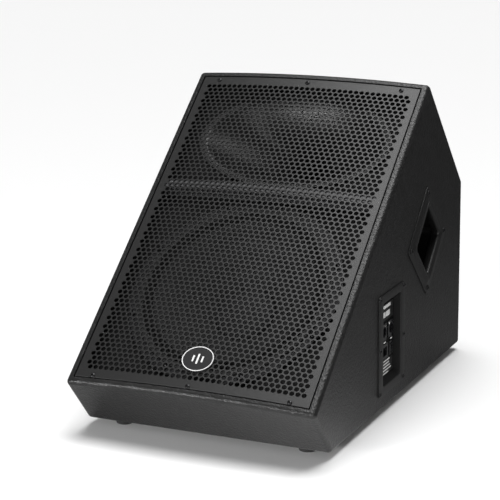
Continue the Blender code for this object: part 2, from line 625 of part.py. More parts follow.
def amplifier():
    base_back = BACK_Y - PLY - GAP
    outline = [(-0.136, base_back - 0.006), (-0.136, base_back)]
    pitch = 0.0165
    for i in range(FIN_COUNT):
        x = (i - (FIN_COUNT - 1) / 2) * pitch
        outline += [(x - 0.0016, base_back), (x - 0.0012, BACK_Y - 0.0015),
                    (x + 0.0012, BACK_Y - 0.0015), (x + 0.0016, base_back)]
    outline += [(0.136, base_back), (0.136, base_back - 0.006)]
    loft('heat_sink', [[(x, y, z) for x, y in outline] for z in (SINK_Z - 0.098, SINK_Z + 0.098)],
         ALUMINIUM)
    front = base_back - 0.006 - GAP
    board = box('amp_board', (-0.110, front - 0.014, SINK_Z - 0.085), (0.110, front - 0.012, SINK_Z + 0.085),
                BOARD)
    parts = [
        box('board_spacer', (-0.100, front - 0.013, SINK_Z - 0.060), (0.100, front, SINK_Z - 0.045), BOARD),
        box('board_coil', (-0.080, front - 0.040, SINK_Z - 0.060), (-0.040, front - 0.013, SINK_Z - 0.020),
            BOARD),
        cylinder('board_capacitor_1', (0.020, front - 0.013, SINK_Z + 0.040), (0, -1, 0), 0.0150, 0.045,
                 BOARD, 20),
        cylinder('board_capacitor_2', (0.060, front - 0.013, SINK_Z + 0.040), (0, -1, 0), 0.0150, 0.045,
                 BOARD, 20),
        box('board_chokes', (-0.090, front - 0.030, SINK_Z + 0.020), (-0.050, front - 0.013, SINK_Z + 0.060),
            BOARD),
    ]
    join(board, *parts)
    floor = FOOT_HEIGHT + PLY + GAP
    ring = [(0.0150, floor), (0.0600, floor), (0.0680, floor + 0.008), (0.0680, floor + 0.046),
            (0.0600, floor + 0.054), (0.0220, floor + 0.054), (0.0150, floor + 0.046)]
    lathe('mains_transformer', ring, COPPER, 0, 24, Matrix.Translation((-0.100, BACK_Y - 0.145, 0)))
    inner = inset_profile(PLY + GAP)
    far = inset_profile(PLY + GAP + 0.025)
    along = (inner[4] - inner[3]).normalized()
    prism('wadding', [inner[3] + along * 0.060, inner[4] - along * 0.110,
                      far[4] - along * 0.110, far[3] + along * 0.060], -0.195, 0.195, WADDING)


LIP, TOP = cabinet()
grille_and_screws(LIP, TOP)
woofer()
horn()
handle_cup('handle_cup_right', 1)
handle_cup('handle_cup_left', -1)
feet()
input_dish()
amplifier()
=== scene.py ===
"""Looks of a powered stage monitor wedge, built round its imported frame.

The face has its own coordinates (x, v, w): v runs up the slope, w points out of the face.
Every new piece is worked out as arrays of points, in metres, and placed in its mesh.
"""
import math

import bmesh
import bpy
import numpy as np
from mathutils import Euler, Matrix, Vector


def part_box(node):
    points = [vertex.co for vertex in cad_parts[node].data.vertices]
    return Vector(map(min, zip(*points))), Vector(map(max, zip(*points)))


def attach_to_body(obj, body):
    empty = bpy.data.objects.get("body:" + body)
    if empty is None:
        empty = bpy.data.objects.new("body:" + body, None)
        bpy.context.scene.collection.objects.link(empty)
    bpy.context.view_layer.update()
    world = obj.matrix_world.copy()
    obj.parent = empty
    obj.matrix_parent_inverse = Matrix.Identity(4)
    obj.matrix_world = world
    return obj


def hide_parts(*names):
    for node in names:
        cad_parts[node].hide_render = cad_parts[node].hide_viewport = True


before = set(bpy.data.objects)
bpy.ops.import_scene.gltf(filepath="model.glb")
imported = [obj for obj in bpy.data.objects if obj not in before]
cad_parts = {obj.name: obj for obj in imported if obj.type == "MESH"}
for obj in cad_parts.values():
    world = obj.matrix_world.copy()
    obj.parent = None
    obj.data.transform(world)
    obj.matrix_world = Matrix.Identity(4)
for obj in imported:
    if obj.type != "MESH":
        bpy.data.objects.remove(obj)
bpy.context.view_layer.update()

bl_info = {
    "name": "Stage Monitor Wedge",
    "version": (1, 0, 0),
    "blender": (4, 5, 0),
    "location": "3D View > Sidebar > Wedge",
    "description": "Builds the painted cabinet, grille, drivers and fittings of a stage monitor wedge",
    "category": "Object",
}

# ---- the frame's own places ---------------------------------------------------------------
SIDE_LOW, SIDE_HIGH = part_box("side_panel_right")
HALF = SIDE_HIGH.x
PLY = SIDE_HIGH.x - SIDE_LOW.x
INNER = HALF - PLY
BACK = SIDE_HIGH.y
FRONT = SIDE_LOW.y
FLOOR_OF_BOX = SIDE_LOW.z
FACE_ANGLE = math.radians(40)
LIP_LENGTH = 0.1135
FACE_LENGTH = (SIDE_HIGH.z - FLOOR_OF_BOX - LIP_LENGTH * math.cos(FACE_ANGLE)) / math.sin(FACE_ANGLE)
TOP_SLOPE = math.radians(47.7)
ALONG = np.array([0.0, math.cos(FACE_ANGLE), math.sin(FACE_ANGLE)])
OUTWARD = np.array([0.0, -math.sin(FACE_ANGLE), math.cos(FACE_ANGLE)])
SIDEWAYS = np.array([1.0, 0.0, 0.0])
FACE_FOOT = np.array([0.0, FRONT, FLOOR_OF_BOX + LIP_LENGTH * math.cos(FACE_ANGLE)])
FACE_MID = FACE_FOOT + ALONG * FACE_LENGTH / 2
REBATE = 0.0058
WOOFER_V = -0.1215
HORN_V = 0.2215
LATTICE_SHIFT = np.array([0.0010, -0.0008])
TOP_SCREWS_V, LOW_SCREWS_V = 0.3350, -0.3390
HANDLE_HOLE = 0.0617
HANDLE_SCREWS = 0.0905
DISH_HOLE = (0.0500, 0.0810)
DISH_FLOOR = -0.010
LATCH_ABOVE_SOCKET = 0.0125
CONE_RIM, CONE_NECK, CONE_DEPTH, CONE_RIM_W = 0.1487, 0.0515, 0.078, -0.0178
CAP_RADIUS, CAP_RISE = 0.055, 0.016
BOLT_CIRCLE = 0.1855
HORN_DEPTH, HORN_MOUTH_W, THROAT_SHARE = 0.2115, -0.0235, 0.62


def middle(node):
    """The middle of a node's box, as an array."""
    low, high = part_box(node)
    return (np.array(low) + np.array(high)) / 2


# ---- arrays into meshes -------------------------------------------------------------------
def on_face(points, v=0.0):
    """Points (x, up the slope, out of the face) counted from height v, in the frame's own axes."""
    points = np.asarray(points, float)
    return (FACE_MID + points[..., 0:1] * SIDEWAYS + (points[..., 1:2] + v) * ALONG
            + points[..., 2:3] * OUTWARD)


def on_side(points, side, y, z):
    """Points given as (along the panel, up, out of it) about (y, z) on a side panel's outer face."""
    points = np.asarray(points, float)
    return np.stack([side * (HALF + points[..., 2]), y + side * points[..., 0], z + points[..., 1]], -1)


def grid_faces(rows, columns, wrap_rows=False):
    """Quads between neighbours of a rows x columns grid whose last column joins its first."""
    r = np.arange(rows if wrap_rows else rows - 1)
    r, c = np.meshgrid(r, np.arange(columns), indexing="ij")
    r2, c2 = (r + 1) % rows, (c + 1) % columns
    quads = np.stack([r * columns + c, r * columns + c2, r2 * columns + c2, r2 * columns + c], -1)
    return quads.reshape(-1, 4)


def new_piece(name, parts, material, smooth_angle=35, weld=1e-6):
    """A mesh object from (points, faces) parts: doubles are merged and all faces turned outwards."""
    verts, faces, start = [], [], 0
    for points, quads in parts:
        points = np.asarray(points, float).reshape(-1, 3)
        verts.append(points)
        faces += [tuple(int(i) + start for i in face) for face in quads]
        start += len(points)
    mesh = bpy.data.meshes.new(name)
    mesh.from_pydata(np.concatenate(verts).tolist(), [], faces)
    work = bmesh.new()
    work.from_mesh(mesh)
    bmesh.ops.remove_doubles(work, verts=work.verts, dist=weld)
    bmesh.ops.recalc_face_normals(work, faces=work.faces)
    work.to_mesh(mesh)
    work.free()
    mesh.shade_smooth()
    mesh.set_sharp_from_angle(angle=math.radians(smooth_angle))
    mesh.materials.append(material)
    made = bpy.data.objects.new(name, mesh)
    bpy.context.scene.collection.objects.link(made)
    return made


def skin(rings, closed=False):
    """One part from rings of points: closed joins last to first, else flat caps shut both ends."""
    rings = np.asarray(rings, float)
    rows, columns = rings.shape[:2]
    faces = [tuple(q) for q in grid_faces(rows, columns, wrap_rows=closed)]
    if not closed:
        faces.append(tuple(range(columns)))
        faces.append(tuple(range((rows - 1) * columns, rows * columns)))
    return rings.reshape(-1, 3), faces


def turned(profile, segments=96):
    """A closed (radius, height) outline turned about the third axis; zero radii become poles."""
    profile = np.asarray(profile, float)
    turn = np.linspace(0, 2 * math.pi, segments, endpoint=False)
    rings = np.stack([profile[:, None, 0] * np.cos(turn), profile[:, None, 0] * np.sin(turn),
                      np.repeat(profile[:, 1:2], segments, 1)], -1)
    return rings, [tuple(q) for q in grid_faces(len(profile), segments, wrap_rows=True)]


def rounded_rectangle(half_a, half_b, radius, steps=8, turn=0.0):
    """Points round a rectangle with quarter-circle corners, turned about its middle."""
    quarter = np.repeat(np.arange(4), steps + 1)
    angle = np.tile(np.linspace(0, math.pi / 2, steps + 1), 4) + quarter * math.pi / 2
    sign_a = np.where((quarter == 0) | (quarter == 3), 1, -1)
    sign_b = np.where(quarter < 2, 1, -1)
    a = sign_a * (half_a - radius) + radius * np.cos(angle)
    b = sign_b * (half_b - radius) + radius * np.sin(angle)
    return np.stack([a * math.cos(turn) - b * math.sin(turn),
                     a * math.sin(turn) + b * math.cos(turn)], -1)


def stack_rings(outlines, heights):
    """Outlines of (a, b) points lifted to their heights, as rings."""
    return np.array([np.column_stack([o, np.full(len(o), h)]) for o, h in zip(outlines, heights)])


def block(half_a, half_b, low, high, radius=0.001, edge=0.0006, steps=5, centre=(0.0, 0.0)):
    """A block with rounded corners whose upper rim is rolled over by edge."""
    roll = np.linspace(0, math.pi / 2, 4)
    insets = np.concatenate([[0.0], edge * (1 - np.cos(roll))])
    heights = np.concatenate([[low], high - edge + edge * np.sin(roll)])
    outlines = [rounded_rectangle(half_a - i, half_b - i, max(radius - i, 1e-4), steps) for i in insets]
    rings = stack_rings(outlines, heights)
    rings[..., 0] += centre[0]
    rings[..., 1] += centre[1]
    return rings


def rod(radius, low, high, segments=24, edge=0.0003, centre=(0.0, 0.0)):
    """A round rod with a small chamfer at its upper end."""
    profile = [(radius, low), (radius, high - edge), (radius - edge, high)]
    rings, _ = turned(profile, segments)
    rings[..., 0] += centre[0]
    rings[..., 1] += centre[1]
    return rings


def bow(x, sag):
    """How far the face stands out at x: a parabola that is zero at the cabinet's sides."""
    return sag * (1 - (np.asarray(x) / HALF) ** 2)


def paint_recess_shade(piece, key, chosen):
    """A second, darker finish on the faces whose middle passes a test: painted shade in a recess."""
    piece.data.materials.append(FINISHES[key])
    for face in piece.data.polygons:
        if chosen(face.center):
            face.material_index = 1


def attach(piece, body, slot, *nodes):
    """The body a piece rides on and the CAD nodes it stands in for; the material slot argument is not used."""
    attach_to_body(piece, body)
    if nodes:
        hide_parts(*nodes)
    return piece


def subtract(target, tools):
    """Cut the tools out of the target and keep only the result."""
    for tool in tools:
        modifier = target.modifiers.new(tool.name, "BOOLEAN")
        modifier.operation = "DIFFERENCE"
        modifier.solver = "EXACT"
        modifier.object = tool
    bpy.context.view_layer.update()
    done = bpy.data.meshes.new_from_object(target.evaluated_get(bpy.context.evaluated_depsgraph_get()))
    target.modifiers.clear()
    target.data = done
    for tool in tools:
        bpy.data.objects.remove(tool)
    return target


# ---- materials ----------------------------------------------------------------------------
def finish(name, colour, roughness, metallic=0.0, coat=0.0, specular=0.5):
    """A Principled material, with the shader's own sockets set."""
    made = bpy.data.materials.new(name)
    made.use_nodes = True
    shader = made.node_tree.nodes["Principled BSDF"]
    shader.inputs["Base Color"].default_value = (*colour, 1.0)
    shader.inputs["Roughness"].default_value = roughness
    shader.inputs["Metallic"].default_value = metallic
    shader.inputs["Coat Weight"].default_value = coat
    shader.inputs["Specular IOR Level"].default_value = specular
    return made


def node(material, kind, **settings):
    """A new shader node; each setting is an input socket's value or a property of the node."""
    made = material.node_tree.nodes.new(kind)
    for key, value in settings.items():
        if key in made.inputs:
            made.inputs[key].default_value = value
        else:
            setattr(made, key, value)
    return made


def grain(material, size, depth, extra=None):
    """Relief of a given grain size and depth, in metres; extra is the size and the share of a second
    wave that is added to it."""
    links = material.node_tree.links
    place = node(material, "ShaderNodeTexCoord")
    relief = node(material, "ShaderNodeTexNoise", Scale=1 / size, Detail=3.0, Roughness=0.55)
    links.new(place.outputs["Object"], relief.inputs["Vector"])
    height = relief.outputs["Fac"]
    if extra:
        wave_size, wave_share = extra
        wave = node(material, "ShaderNodeTexNoise", Scale=1 / wave_size, Detail=2.0)
        links.new(place.outputs["Object"], wave.inputs["Vector"])
        mix = node(material, "ShaderNodeMath", operation="MULTIPLY_ADD")
        mix.inputs[1].default_value = wave_share
        links.new(wave.outputs["Fac"], mix.inputs[0])
        links.new(height, mix.inputs[2])
        height = mix.outputs[0]
    bump = node(material, "ShaderNodeBump", Strength=1.0, Distance=depth)
    links.new(height, bump.inputs["Height"])
    links.new(bump.outputs["Normal"], material.node_tree.nodes["Principled BSDF"].inputs["Normal"])
    return material


def mottle(material, low, high, size, stretch=(1, 1, 1)):
    """Slow variation between two colours over patches of a given size."""
    links = material.node_tree.links
    place = node(material, "ShaderNodeTexCoord")
    scale = node(material, "ShaderNodeMapping")
    scale.inputs["Scale"].default_value = stretch
    cloud = node(material, "ShaderNodeTexNoise", Scale=1 / size, Detail=4.0, Roughness=0.6)
    ramp = node(material, "ShaderNodeValToRGB")
    for element, position, colour in zip(ramp.color_ramp.elements, (0.35, 0.68), (low, high)):
        element.position = position
        element.color = (*colour, 1)
    links.new(place.outputs["Object"], scale.inputs["Vector"])
    links.new(scale.outputs["Vector"], cloud.inputs["Vector"])
    links.new(cloud.outputs["Fac"], ramp.inputs["Fac"])
    links.new(ramp.outputs["Color"], material.node_tree.nodes["Principled BSDF"].inputs["Base Color"])
    return material


def make_finishes(colours):
    """Every finish by its key: shader values, then the size and depth of its grain in metres."""
    paint = tuple(colours.paint)
    made = {}
    made["paint"] = grain(finish("textured_paint", paint, 0.32, specular=0.36), 0.0046, 0.0011,
                          (0.0018, 0.35))
    mottle(made["paint"], tuple(c * 0.75 for c in paint), tuple(c * 1.35 for c in paint), 0.012)
    made["coat"] = grain(finish("grille_powder_coat", tuple(colours.grille), 0.37, specular=0.42), 0.0007,
                         0.00006)
    made["baffle"] = grain(finish("baffle_paint", (0.006, 0.006, 0.006), 0.8, specular=0.25), 0.002, 0.0003)
    made["cone"] = grain(finish("pulp_cone", (0.018, 0.018, 0.019), 0.66, specular=0.3), 0.0012, 0.00025)
    mottle(made["cone"], (0.013, 0.013, 0.013), (0.025, 0.025, 0.026), 0.006)
    made["cap"] = grain(finish("dust_cap_paper", (0.013, 0.013, 0.014), 0.7, specular=0.3), 0.0015, 0.0001)
    made["cloth"] = grain(finish("surround_cloth", (0.007, 0.007, 0.007), 0.8, specular=0.2), 0.0009, 0.0002)
    made["cast"] = grain(finish("coated_casting", (0.016, 0.016, 0.017), 0.45, 0.5), 0.0015, 0.00012)
    made["horn"] = grain(finish("horn_moulding", (0.008, 0.008, 0.008), 0.33), 0.004, 0.00008)
    made["handle"] = grain(finish("handle_moulding", (0.011, 0.011, 0.011), 0.34, specular=0.35), 0.0008, 0.00007)
    made["dish"] = grain(finish("dish_moulding", (0.011, 0.011, 0.011), 0.34, specular=0.35), 0.0007, 0.00006)
    # painted shade: a darker, less shiny copy of the mouldings for the faces inside recesses
    made["hollow"] = grain(finish("painted_shade_moulding", (0.005, 0.005, 0.005), 0.55, specular=0.15), 0.0008, 0.00007)
    made["bar"] = grain(finish("bar_undercoat", (0.062, 0.062, 0.064), 0.5), 0.002, 0.0002)
    made["gloss"] = grain(finish("socket_moulding", (0.012, 0.012, 0.013), 0.22), 0.003, 0.00002)
    made["screw"] = grain(finish("black_zinc", (0.035, 0.035, 0.036), 0.32, 0.85), 0.001, 0.00003)
    made["nickel"] = grain(finish("nickel", (0.55, 0.54, 0.52), 0.25, 1.0), 0.002, 0.00001)
    made["rubber"] = grain(finish("foot_rubber", (0.014, 0.014, 0.014), 0.75), 0.001, 0.0001)
    made["gasket"] = grain(finish("gasket_rubber", (0.016, 0.016, 0.016), 0.8), 0.001, 0.0001)
    made["sink"] = grain(finish("black_anodised", (0.030, 0.030, 0.032), 0.36, 0.8), 0.0006, 0.00003)
    made["enamel"] = grain(finish("badge_enamel", (0.010, 0.010, 0.011), 0.28, coat=0.4), 0.004, 0.00002)
    made["pale"] = grain(finish("badge_rim", (0.62, 0.62, 0.62), 0.35), 0.002, 0.00002)
    made["label"] = grain(finish("label_film", (0.72, 0.72, 0.71), 0.4), 0.001, 0.00002)
    made["ink"] = grain(finish("label_ink", (0.015, 0.015, 0.015), 0.45), 0.001, 0.00002)
    made["ply"] = mottle(grain(finish("bare_plywood", (0.45, 0.32, 0.19), 0.7), 0.002, 0.0002),
                         (0.36, 0.25, 0.14), (0.55, 0.41, 0.26), 0.01, stretch=(0.15, 1, 1))
    made["ferrite"] = grain(finish("ferrite", (0.05, 0.05, 0.055), 0.6), 0.0008, 0.0001)
    made["plated"] = mottle(grain(finish("plated_steel", (0.5, 0.5, 0.5), 0.3, 1.0), 0.001, 0.00003),
                            (0.42, 0.42, 0.43), (0.6, 0.6, 0.58), 0.01)
    made["film"] = grain(finish("former_film", (0.5, 0.28, 0.10), 0.35), 0.001, 0.00003)
    made["winding"] = grain(finish("taped_winding", (0.42, 0.27, 0.10), 0.4), 0.003, 0.0002)
    made["board"] = mottle(grain(finish("solder_mask", (0.02, 0.12, 0.05), 0.35), 0.002, 0.00005),
                           (0.015, 0.09, 0.04), (0.03, 0.16, 0.07), 0.008)
    made["wadding"] = grain(finish("loose_wadding", (0.55, 0.56, 0.55), 0.95), 0.004, 0.0015)
    return made


FINISHES = {}


def dress(material_key, *nodes):
    """Give carried CAD nodes their finish."""
    for name in nodes:
        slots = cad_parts[name].data.materials
        if len(slots):
            slots[0] = FINISHES[material_key]
        else:
            slots.append(FINISHES[material_key])


# ---- cabinet ------------------------------------------------------------------------------
def corner_points():
    """The cabinet's side outline as (y, z): face foot, lip foot, back foot, back top, face top."""
    sine, cosine = math.sin(FACE_ANGLE), math.cos(FACE_ANGLE)
    foot = FACE_FOOT[1:]
    top = foot + FACE_LENGTH * ALONG[1:]
    back_top = top[1] - (BACK - top[0]) * math.tan(TOP_SLOPE)
    return np.array([foot, foot + LIP_LENGTH * np.array([sine, -cosine]), (BACK, FLOOR_OF_BOX),
                     (BACK, back_top), top])


def inset_outline(corners, distance):
    """Every side moved inwards by a distance, and the new corners where neighbours meet."""
    before = corners - np.roll(corners, 1, 0)
    after = np.roll(corners, -1, 0) - corners
    before /= np.linalg.norm(before, axis=1)[:, None]
    after /= np.linalg.norm(after, axis=1)[:, None]
    in_before = np.stack([-before[:, 1], before[:, 0]], 1)
    in_after = np.stack([-after[:, 1], after[:, 0]], 1)
    half = in_before + in_after
    half /= np.linalg.norm(half, axis=1)[:, None]
    return corners + half * (distance / (half * in_before).sum(1))[:, None]


def rounded_corners(corners, radius, steps):
    """Each corner replaced by an arc that touches both sides: centre on the bisector."""
    before = corners - np.roll(corners, 1, 0)
    after = np.roll(corners, -1, 0) - corners
    before /= np.linalg.norm(before, axis=1)[:, None]
    after /= np.linalg.norm(after, axis=1)[:, None]
    centres = inset_outline(corners, radius)
    sweep = np.arctan2(before[:, 0] * after[:, 1] - before[:, 1] * after[:, 0], (before * after).sum(1))
    # the outward normal of a side that runs along (dy, dz) is (dz, -dy)
    angle = np.arctan2(-before[:, 0], before[:, 1])[:, None] + sweep[:, None] * np.linspace(0, 1, steps)
    return centres[:, None] + radius * np.stack([np.cos(angle), np.sin(angle)], -1)


def cabinet_rings(radius, sag, steps=6):
    """The outer skin: the rounded outline carried across x, drawn in by a quarter circle at each
    side, with the two face corners lifted by the bow."""
    roll = np.linspace(math.pi / 2, 0, steps)
    side_x = HALF - radius + radius * np.sin(roll)
    side_inset = radius * (1 - np.cos(roll))
    across = np.linspace(HALF - radius, -(HALF - radius), 33)[1:-1]
    xs = np.concatenate([side_x, across, -side_x[::-1]])
    insets = np.concatenate([side_inset, np.zeros(len(across)), side_inset[::-1]])
    corners = corner_points()
    rings = []
    for x, inset in zip(xs, insets):
        arcs = rounded_corners(inset_outline(corners, inset), radius * 1.05 - inset, steps)
        lift = np.zeros(len(corners))
        lift[[0, 4]] = bow(x, sag)
        arcs = arcs + lift[:, None, None] * OUTWARD[1:]
        flat = arcs.reshape(-1, 2)
        rings.append(np.column_stack([np.full(len(flat), x), flat]))
    return np.array(rings)


def prism_part(outline, x_low, x_high):
    """A (y, z) outline carried from x_low to x_high."""
    outline = np.asarray(outline)
    rings = [np.column_stack([np.full(len(outline), x), outline]) for x in (x_low, x_high)]
    return skin(rings)


def box_part(low, high):
    """A plain box between two corners."""
    outline = [(low[1], low[2]), (high[1], low[2]), (high[1], high[2]), (low[1], high[2])]
    return prism_part(outline, low[0], high[0])


def build_cabinet(settings):
    """A hollow painted box: the rounded skin less the room inside, the step for the grille's edge,
    the handles' and dish's holes and the heat sink's window."""
    paint = FINISHES["paint"]
    shell = new_piece("cabinet_shell", [skin(cabinet_rings(settings.edge_radius, settings.face_sag))],
                      paint, 50)
    inner = inset_outline(corner_points(), PLY)
    reach = 0.05 * OUTWARD[1:]
    room = [inner[0] + reach + (inner[0] - inner[1]) * 0.2, inner[1], inner[2], inner[3],
            inner[4] + reach + (inner[4] - inner[3]) * 0.05]
    tools = [new_piece("room", [prism_part(room, -INNER, INNER)], paint)]
    xs = np.linspace(-(INNER + REBATE), INNER + REBATE, 25)
    reach_v = FACE_LENGTH / 2 - PLY + REBATE
    floor_w = bow(xs, settings.face_sag) - settings.sheet_drop - settings.step_depth
    rings = []
    for x, w in zip(xs, floor_w):
        rings.append(on_face([(x, -reach_v, w), (x, reach_v, w), (x, reach_v, 0.05), (x, -reach_v, 0.05)]))
    tools.append(new_piece("step", [skin(rings)], paint))
    for side, name in ((1, "handle_cup_right"), (-1, "handle_cup_left")):
        centre = middle(name)
        outline = rounded_rectangle(HANDLE_HOLE, HANDLE_HOLE, 0.010, 4, math.radians(45)) + centre[1:]
        ends = sorted((side * (INNER - 0.01), side * (HALF + 0.01)))
        tools.append(new_piece("handle_hole", [prism_part(outline, *ends)], paint))
    dish = middle("input_dish")
    outline = rounded_rectangle(*DISH_HOLE, 0.004, 4) + dish[1:]
    tools.append(new_piece("dish_hole", [prism_part(outline, INNER - 0.01, HALF + 0.01)], paint))
    sink_low, sink_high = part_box("heat_sink")
    tools.append(new_piece("window", [box_part((-0.125, BACK - 0.03, sink_low.z - 0.002),
                                               (0.125, BACK + 0.01, sink_high.z + 0.002))], paint))
    subtract(shell, tools)
    shell.data.shade_smooth()
    shell.data.set_sharp_from_angle(angle=math.radians(40))
    shell.data.materials.clear()
    shell.data.materials.append(paint)
    weights = shell.modifiers.new("even_flats", "WEIGHTED_NORMAL")
    weights.keep_sharp = True
    attach(shell, "cabinet", "cabinet_paint", "side_panel_left", "side_panel_right", "base_panel",
           "back_panel", "front_lip", "top_panel")
    dress("baffle", "baffle")
    dress("bar", "grille_cross_bar")
    dress("ply", "baffle_brace")


# ---- grille -------------------------------------------------------------------------------
def build_grille(settings):
    """A bowed sheet of six-sided cells, each with a round hole. Rows run across the face, 0.866 of a
    pitch apart, and every second row is moved half a pitch; the rim joins the outermost cells to
    the sheet's straight edges."""
    pitch, rows, columns = settings.pitch, settings.rows, settings.columns
    row, column = np.meshgrid(np.arange(rows), np.arange(columns), indexing="ij")
    shift = np.where(row % 2 == 0, -0.25, 0.25)
    x = ((column - (columns - 1) / 2) + shift) * pitch
    v = ((rows - 1) / 2 - row) * pitch * math.sqrt(3) / 2
    centres = np.stack([x, v], -1).reshape(-1, 2) + LATTICE_SHIFT
    corner_turn = math.radians(30) + np.arange(6) * math.pi / 3
    corners = pitch / math.sqrt(3) * np.stack([np.cos(corner_turn), np.sin(corner_turn)], -1)
    hole_turn = math.radians(30) + np.arange(12) * math.pi / 6
    radius = settings.hole_share * pitch / 2
    ring = radius * np.stack([np.cos(hole_turn), np.sin(hole_turn)], -1)
    cell = np.concatenate([corners, ring])
    flat = (centres[:, None] + cell[None]).reshape(-1, 2)
    count = len(flat)
    base = (np.arange(len(centres)) * 18)[:, None, None]
    i = np.arange(6)
    j, k = 6 + 2 * i, 6 + (2 * i + 1)
    last = 6 + (2 * i + 2) % 12
    after = (i + 1) % 6
    web = np.concatenate([np.stack([i, k, j], -1), np.stack([i, after, k], -1),
                          np.stack([after, last, k], -1)])
    front = (base + web[None]).reshape(-1, 3)
    back = front[:, ::-1] + count
    h = np.arange(12)
    wall = np.stack([6 + h, 6 + (h + 1) % 12, 6 + (h + 1) % 12 + count, 6 + h + count], -1)
    walls = (base + wall[None]).reshape(-1, 4)
    front_points = np.column_stack([flat, np.zeros(count)])
    back_points = np.column_stack([flat, np.full(count, -settings.sheet_thickness)])

    rim_points, rim_faces = grille_rim(settings, pitch, rows, columns)
    parts_points = np.concatenate([front_points, back_points, rim_points])
    parts_points[:, 2] += bow(parts_points[:, 0], settings.face_sag) - settings.sheet_drop
    faces = front.tolist() + back.tolist() + walls.tolist()
    faces += [tuple(c + 2 * count for c in face) for face in rim_faces]
    sheet = new_piece("grille_sheet", [(on_face(parts_points), faces)], FINISHES["coat"], 30, 2e-5)
    attach(sheet, "cabinet", "grille_paint", "grille")


def grille_rim(settings, pitch, rows, columns):
    """The plain edge of the sheet: zigzag outline of the cells, straight outline of the sheet, and
    quads between them on the front and the back, with an edge wall round the outside."""
    half_x = INNER + REBATE - settings.sheet_gap
    half_v = FACE_LENGTH / 2 - PLY + REBATE - settings.sheet_gap
    up = pitch * math.sqrt(3) / 2
    short, tall = pitch / (2 * math.sqrt(3)), pitch / math.sqrt(3)
    row = np.arange(rows)
    v = ((rows - 1) / 2 - row) * up
    shift = np.where(row % 2 == 0, -0.25, 0.25) * pitch
    left_x = -(columns - 1) / 2 * pitch + shift - pitch / 2
    right_x = (columns - 1) / 2 * pitch + shift + pitch / 2
    left = np.stack([np.repeat(left_x, 2), (v[:, None] + [short, -short]).ravel()], -1)
    right = np.stack([np.repeat(right_x, 2), (v[:, None] + [short, -short]).ravel()], -1)
    number = np.arange(columns)
    top_x = (number - (columns - 1) / 2) * pitch + shift[0]
    low_x = (number - (columns - 1) / 2) * pitch + shift[-1]
    top = np.concatenate([np.stack([top_x, np.full(columns, v[0] + tall)], -1),
                          np.stack([top_x[:-1] + pitch / 2, np.full(columns - 1, v[0] + short)], -1)])
    low = np.concatenate([np.stack([low_x, np.full(columns, v[-1] - tall)], -1),
                          np.stack([low_x[:-1] + pitch / 2, np.full(columns - 1, v[-1] - short)], -1)])
    top = top[np.argsort(top[:, 0])]
    low = low[np.argsort(low[:, 0])]
    inner = np.concatenate([left[::-1], top, right, low[::-1]]) + LATTICE_SHIFT
    outer = np.concatenate([
        np.stack([np.full(len(left), -half_x), np.linspace(-half_v, half_v, len(left) + 2)[1:-1]], -1),
        np.stack([np.linspace(-half_x, half_x, len(top) + 2)[1:-1], np.full(len(top), half_v)], -1),
        np.stack([np.full(len(right), half_x), np.linspace(half_v, -half_v, len(right) + 2)[1:-1]], -1),
        np.stack([np.linspace(half_x, -half_x, len(low) + 2)[1:-1], np.full(len(low), -half_v)], -1)])
    n = len(inner)
    thick, roll = settings.sheet_thickness, 0.0004
    centre_pull = outer * (1 - roll / np.abs(outer).max(1, keepdims=True))
    loops = [(inner, 0.0), (centre_pull, 0.0), (outer, -roll), (outer, -thick), (inner, -thick)]
    points = np.concatenate([np.column_stack([flat, np.full(n, w)]) for flat, w in loops])
    quads = grid_faces(len(loops), n).tolist()
    corner_at = [len(left) - 1, len(left) + len(top) - 1, len(left) + len(top) + len(right) - 1, n - 1]
    corner_xy = [(-half_x, half_v), (half_x, half_v), (half_x, -half_v), (-half_x, -half_v)]
    extra, faces = [], []
    for at, (x, v_corner) in zip(corner_at, corner_xy):
        start = len(points) + len(extra)
        pull = 1 - roll / max(abs(x), abs(v_corner))
        extra += [(x * pull, v_corner * pull, 0.0), (x, v_corner, -roll), (x, v_corner, -thick)]
        nxt = (at + 1) % n
        for level in (0, 1):
            faces.append((start + level, (level + 1) * n + at, (level + 2) * n + at, start + level + 1))
            faces.append((start + level, start + level + 1, (level + 2) * n + nxt, (level + 1) * n + nxt))
        quads = [q for q in quads if not (at in [c % n for c in q] and nxt in [c % n for c in q]
                                          and min(q) // n in (1, 2) and max(q) // n in (2, 3))]
        # the corner triangles on the front and on the back
        faces.append((start, n + nxt, n + at))
        faces.append((start + 2, 3 * n + at, 3 * n + nxt))
    return np.concatenate([points, np.array(extra)]), quads + faces


def screw_head(radius, height, low, stem=0.004, segments=40):
    """A domed head whose crown is an arc, with a six-lobed socket sunk in its middle."""
    turn = np.linspace(0, 2 * math.pi, segments, endpoint=False)
    arc = np.linspace(0, math.radians(62), 6)
    crown_r = radius * (1 - 0.62 * (1 - np.cos(arc)) / (1 - math.cos(math.radians(62))))
    crown_w = low + height * (0.35 + 0.65 * np.sin(arc) / math.sin(math.radians(62)))
    lobes = 0.36 * radius * (1 + 0.16 * np.cos(6 * turn))
    rings = [np.stack([r * np.cos(turn), r * np.sin(turn), np.full(segments, w)], -1)
             for r, w in [(0.5 * radius, low - stem), (0.5 * radius, low), (radius, low)]]
    rings += [np.stack([r * np.cos(turn), r * np.sin(turn), np.full(segments, w)], -1)
              for r, w in zip(crown_r, crown_w)]
    for share, w in ((1.0, low + height), (1.0, low + height * 0.25)):
        rings.append(np.stack([lobes * share * np.cos(turn), lobes * share * np.sin(turn),
                               np.full(segments, w)], -1))
    return np.array(rings)


